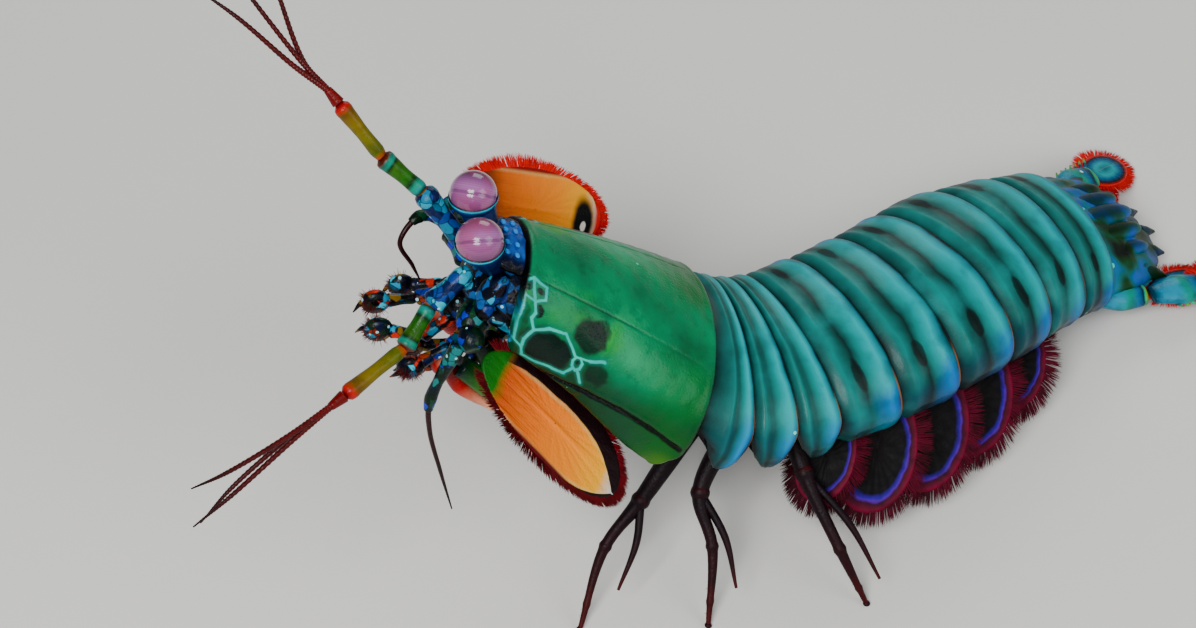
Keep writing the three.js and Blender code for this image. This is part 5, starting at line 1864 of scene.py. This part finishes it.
@dataclass(frozen=True)
class Swimmeret:
    """One swimming flap under the abdomen, with its fringe and its gill tree."""

    index: int
    start: float
    end: float
    place: float
    length: float
    width: float
    bristles: int = 360
    gill_threads: int = 7

    def build(self, side: Side) -> None:
        """Makes the flap, its gills and its fringe.

        Args:
            side: The animal's side.
        """
        body = SPINE.at(self.start + (self.end - self.start) * self.place)
        stem = body.spot(side.value * 7.5, 0, -2)
        beat = FLAP_BEATS[side]
        along, across = body.direction(*beat.along), body.direction(*beat.across)
        root = stem + along * 1.6
        blade = Blade(root, along, across, self.length * beat.share, self.width, 0.9, shape=-0.3, cup=0.8)
        form = Form()
        stalk = np.linspace(stem, root + along * 2.4, 24)
        form.tube(stalk, smooth_radii((1.8, 1.6, 0.6), 24), 20, span=(0, 0.4))
        blade.faces(form, rings=24, wide=90, ribs=0.09)
        name = f"swimmeret_{self.index}_{side}"
        form.build("flap_" + name, "swimmerets", [name], [FLAP_SKIN])
        self._gills(body, blade, side).build("gills_" + name, "swimmerets", [], [GILLS])
        coat = Form()
        for layer in range(2):
            blade.fringe(coat, self.bristles, 2.3, 0.17, 0.16, 100 * self.index + layer + side.value)
        coat.build("fringe_" + name, "swimmerets", [], [FLAP_FRINGE], coat=True)

    def _gills(self, body: Place, blade: Blade, side: Side) -> Form:
        """Branches of gill threads at the flap's root.

        Args:
            body: The place that the flap grows from.
            blade: The flap.
            side: The animal's side.

        Returns:
            The threads.
        """
        random = np.random.default_rng(self.index * 2 + side.value + 40)
        form = Form()
        for k in range(self.gill_threads):
            start = blade.root + blade.across * (k - 3) * 0.55 + blade.along * 0.4
            end = body.spot(side.value * (3.6 + 0.5 * k), 1.6 - 0.6 * k, -6.4 - 0.5 * (k % 3))
            path = smooth_path([start, (start + end) / 2 + random.normal(0, 0.4, 3), end], 14)
            form.tube(path, smooth_radii((0.34, 0.26, 0.08), 14), 6, normal=body.back)
            for share in (0.3, 0.55, 0.8):
                twig = path[int(share * 13)]
                tip = twig + random.normal(0, 0.5, 3) + body.up * -0.9
                form.tube(np.linspace(twig, tip, 5), np.linspace(0.18, 0.05, 5), 5, normal=body.back)
        return form


# Each flap pair's share of its ring's length, its length and its width
FLAPS = ((0.55, 12.6, 7.6), (0.48, 17.0, 10.8), (0.38, 17.5, 11.4), (0.38, 16.5, 11.0), (0.38, 13.5, 9.4))


@dataclass
class TailFan:
    """The telson with its bosses and teeth, and the uropods on both sides.

    The telson's rows are distances behind its front, half widths and heights. A boss is x, distance, height,
    half width and half length; a tooth is x, distance, radius, length and splay. The uropods are the right
    one's points, tucked in towards the telson and lifted at their ends by each side's shares.
    """

    rows: tuple[Point, ...] = (
        (0.3, 10.4, 4.4), (1.2, 10.9, 5), (6, 11, 4.2), (11, 9.8, 2.9), (14.5, 7.4, 1.5), (16, 5.2, 0.7),
    )
    bosses: tuple[tuple[float, ...], ...] = (
        (0, 2.4, 4.8, 1.75, 6.0), (2.95, 3.2, 4.35, 1.5, 5.4), (5.7, 3.6, 3.5, 1.4, 4.9),
        (8.1, 4, 2.1, 1.25, 4.3),
    )
    teeth: tuple[tuple[float, ...], ...] = (
        (1.7, 15, 1.1, 3.6, 0.1), (5.1, 13.2, 1.3, 3.8, 0.25), (8.3, 9.6, 1.4, 4.2, 0.4),
    )
    tuck: dict[Side, float] = sided(1.0, 0.74)
    rise: dict[Side, float] = sided(0.2, 0.06)
    base: tuple[Point, ...] = ((8, 0.8, -1.6), (10.6, -4, -2.2), (11.8, -7.6, -2.2))
    base_spine: tuple[Point, ...] = ((10.2, -6, -3.2), (9.6, -12, -4), (8.8, -17.5, -4.2))
    outer: tuple[Point, ...] = ((12.4, -8.6, -2), (13.4, -12.4, -1.6), (14, -16.6, -1.8))
    outer_spines: int = 7
    paddle_root: Point = (13.8, -15.2, -1.8)
    paddle_along: Point = (0.16, -0.97, -0.08)
    inner_root: Point = (11.2, -8.8, -3.2)
    inner_along: Point = (0.02, -0.99, -0.1)

    def telson(self) -> None:
        """Makes the tail plate."""
        y = np.linspace(self.rows[0][0], self.rows[-1][0], 60)[:, None]
        half = look_up([(row[0], row[1]) for row in self.rows], y)
        high = look_up([(row[0], row[2]) for row in self.rows], y)
        a = full_turn(120)
        low = 2 * (0.45 + 0.55 * high / 5)
        x = half * np.sin(a)
        ridges = 0.12 * np.cos(x * 2.3) * (np.cos(a) > 0.1)
        z = np.where(np.cos(a) > 0, high * np.cos(a) + ridges, low * np.cos(a))
        form = Form()
        form.grid(TAIL.spot(x, -y, z), together(a / TURN, y / 17), ring=True, close=True)
        for x0, y0, z0, wide, long in self.bosses:
            for sign in ([1] if x0 == 0 else [1, -1]):
                centre = TAIL.spot(sign * x0, -y0 - long * 0.7, z0 - 1.2)
                form.ball(TAIL, centre, (wide, long, 1.35), 20, 28)
        for x0, y0, radius, long, splay in self.teeth:
            for sign in (1, -1):
                root = TAIL.spot(sign * x0, -y0, 0.3)
                tip = TAIL.spot(sign * (x0 + splay * long), -y0 - long, -0.1)
                radii = smooth_radii((radius, radius * 0.72, 0.2), 18)
                form.tube(np.linspace(root, tip, 18), radii, 18, normal=TAIL.up, span=(0.85, 1.1))
        form.build("tail_plate", "telson", ["telson"], [TAIL_PLATE])

    def at(self, side: Side, point: Point) -> Array:
        """A place of one side's uropods, tucked in and lifted, from the right side's place."""
        x, y, z = point
        return TAIL.spot(side.value * x * self.tuck[side], y, z - y * self.rise[side])

    def turn(self, side: Side, way: Point) -> Array:
        """A direction of one side's uropods, lifted, from the right side's direction."""
        x, y, z = way
        return TAIL.direction(side.value * x, y, z - y * self.rise[side])

    def uropods(self, side: Side) -> None:
        """Makes one side's base, outer branch with its paddle, inner branch and fringes.

        Args:
            side: The animal's side.
        """
        base = Form()
        route = smooth_path([self.at(side, p) for p in self.base], 36)
        base.tube(route, smooth_radii((2.2, 2.4, 1.7), 36), 28, 0.7, TAIL.up)
        spine = smooth_path([self.at(side, p) for p in self.base_spine], 30)
        base.tube(spine, smooth_radii((1, 0.85, 0.15), 30), 16, normal=TAIL.up)
        base.build(f"uropod_stem_{side}", "tail_fan", [f"uropod_base_{side}"], [FAN_SKIN])
        across = self.turn(side, (0.86, 0.5, 0))
        paddle = Blade(
            self.at(side, self.paddle_root), self.turn(side, self.paddle_along), across, 9.8, 6, 0.9,
            shape=-0.2, cup=0,
        )
        outer = self._outer(side)
        paddle.faces(outer, rings=20, wide=70, finish=1)
        outer.build(f"uropod_blade_{side}", "tail_fan", [f"uropod_outer_{side}"], [FAN_SKIN, PADDLE_SKIN])
        leaf = Blade(self.at(side, self.inner_root), self.turn(side, self.inner_along), across, 12, 4.6, 0.9,
                     shape=-0.2, cup=0)
        inner = Form()
        leaf.faces(inner, rings=20, wide=80)
        inner.build(f"uropod_leaf_{side}", "tail_fan", [f"uropod_inner_{side}"], [PADDLE_SKIN])
        coat = Form()
        for layer in range(2):
            paddle.fringe(coat, 240, 1.7, 0.15, 0.2, 300 + layer + side.value)
            leaf.fringe(coat, 300, 1.6, 0.15, 0.2, 310 + layer + side.value)
        coat.build(f"uropod_fringe_{side}", "tail_fan", [], [FRINGE_RED], coat=True)

    def _outer(self, side: Side) -> Form:
        """The outer branch with the row of spines at its rim, without its paddle.

        Args:
            side: The animal's side.

        Returns:
            The branch.
        """
        form = Form()
        points = [self.at(side, p) for p in self.outer]
        form.tube(smooth_path(points, 36), smooth_radii((1.5, 2.6, 1.9), 36), 28, 0.5, TAIL.up)
        rim, back = self.turn(side, (0.78, 0.3, 0)), self.turn(side, (0.4, -0.9, 0))
        for k in range(self.outer_spines):
            start = points[0] + (points[2] - points[0]) * (0.25 + 0.75 * k / (self.outer_spines - 1))
            tip = start + rim * 2.6 + back * (2 + 0.1 * k)
            spine = np.linspace(start + rim * 0.9, tip, 12)
            form.tube(spine, np.linspace(0.5, 0.12, 12), 12, normal=TAIL.up, span=(0.8, 1.0))
        return form

    def build(self) -> None:
        """Makes the whole tail fan."""
        self.telson()
        for side in Side:
            self.uropods(side)


@dataclass
class Studio:
    """The pale floor, the soft lights and the camera that keeps the photograph's framing.

    A lamp is given by its name, its place, its power in watts and its edge, with lengths in metres.
    """

    floor_half: float = 1.2
    floor_colours: tuple[str, str] = ("#d9d8d4", "#cfcec9")
    target: Point = (0, 0, 0.03)
    lamps: tuple[tuple[str, Point, float, float], ...] = (
        ("key", (-0.16, -0.42, 0.5), 5.2, 0.3),
        ("fill", (0.45, -0.3, 0.4), 1.6, 0.4),
        ("rim", (0.1, 0.5, 0.35), 1.0, 0.3),
    )
    sky: tuple[float, float, float, float] = (0.9, 0.95, 1.0, 1.0)
    sky_power: float = 0.28

    def floor(self) -> None:
        """Makes the floor just under the feet."""
        mesh = bpy.data.meshes.new("floor")
        h = self.floor_half
        mesh.from_pydata([(-h, -h, 0), (h, -h, 0), (h, h, 0), (-h, h, 0)], [], [(0, 1, 2, 3)])
        material = bpy.data.materials.new("Floor")
        material.use_nodes = True
        n = Nodes(material.node_tree)
        colour = n.mix(n.noise(14.0), *(linear(part) for part in self.floor_colours))
        n.feed(n.tree.nodes["Principled BSDF"], {"Base Color": colour, "Roughness": 0.7})
        mesh.materials.append(material)
        piece = bpy.data.objects.new("floor", mesh)
        bpy.context.scene.collection.objects.link(piece)

    def lights(self) -> None:
        """Adds the soft square lamps, which face the animal, and the even light from all round."""
        for name, place, power, size in self.lamps:
            data = bpy.data.lights.new(name, "AREA")
            data.energy, data.size = power, size
            lamp = bpy.data.objects.new(name, data)
            lamp.location = place
            lamp.rotation_euler = (Vector(self.target) - Vector(place)).to_track_quat("-Z", "Y").to_euler()
            bpy.context.scene.collection.objects.link(lamp)
        world = bpy.data.worlds.new("world")
        world.use_nodes = True
        Nodes(world.node_tree).feed(world.node_tree.nodes["Background"], {0: self.sky, 1: self.sky_power})
        bpy.context.scene.world = world

    def camera(self) -> None:
        """Adds the camera, placed from the photograph's scale and height angle."""
        width, height = PHOTO_SIZE
        focal = width / 2 / math.tan(math.radians(CAMERA_ANGLE / 2))
        e = math.radians(CAMERA_ELEVATION)
        forward = np.array([0, math.cos(e), -math.sin(e)])
        up = np.array([0, math.sin(e), math.cos(e)])
        right = np.array([1.0, 0, 0])
        junction = np.array([0, 0, JUNCTION_HEIGHT]) + ORIGIN_SHIFT
        place = (
            junction - forward * focal / PIXELS_PER_MM
            - right * (JUNCTION_PIXEL[0] - width / 2) / PIXELS_PER_MM
            + up * (JUNCTION_PIXEL[1] - height / 2) / PIXELS_PER_MM
        )
        data = bpy.data.cameras.new("camera")
        data.sensor_fit = "HORIZONTAL"
        data.angle_x = math.radians(CAMERA_ANGLE)
        data.clip_start = 0.01
        camera = bpy.data.objects.new("camera", data)
        matrix = Matrix.Identity(4)
        for column, axis in enumerate((right, up, -forward)):
            for row in range(3):
                matrix[row][column] = axis[row]
        matrix.translation = Vector(place * MM)
        camera.matrix_world = matrix
        bpy.context.scene.collection.objects.link(camera)
        bpy.context.scene.camera = camera

    def build(self) -> None:
        """Makes the stage."""
        self.floor()
        self.camera()
        self.lights()


def main() -> None:
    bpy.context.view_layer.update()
    Studio().build()
    Carapace().build()
    Head().build()
    for number, (name, start, end) in enumerate(THORAX):
        Somite(name, start, end, lobed=True, lead=0.0 if number else COLLAR).build()
    start = ABDOMEN_START
    for number, length in enumerate(ABDOMEN_LENGTHS):
        Somite(f"abdomen_{number + 1}", start, start + length, lobed=False).build()
        if number < len(FLAPS):
            for side in Side:
                Swimmeret(number + 1, start, start + length, *FLAPS[number]).build(side)
        start += length
    Antennules().build()
    Antennae().build()
    Claws().build()
    for number, limb in enumerate(FEEDING_LIMBS):
        for side in Side:
            limb.build(side, 500 + number * 2 + side.value)
    for number, leg in enumerate(LEGS):
        leg.build(600 + number)
    TailFan().build()


if __name__ == "__main__":
    main()
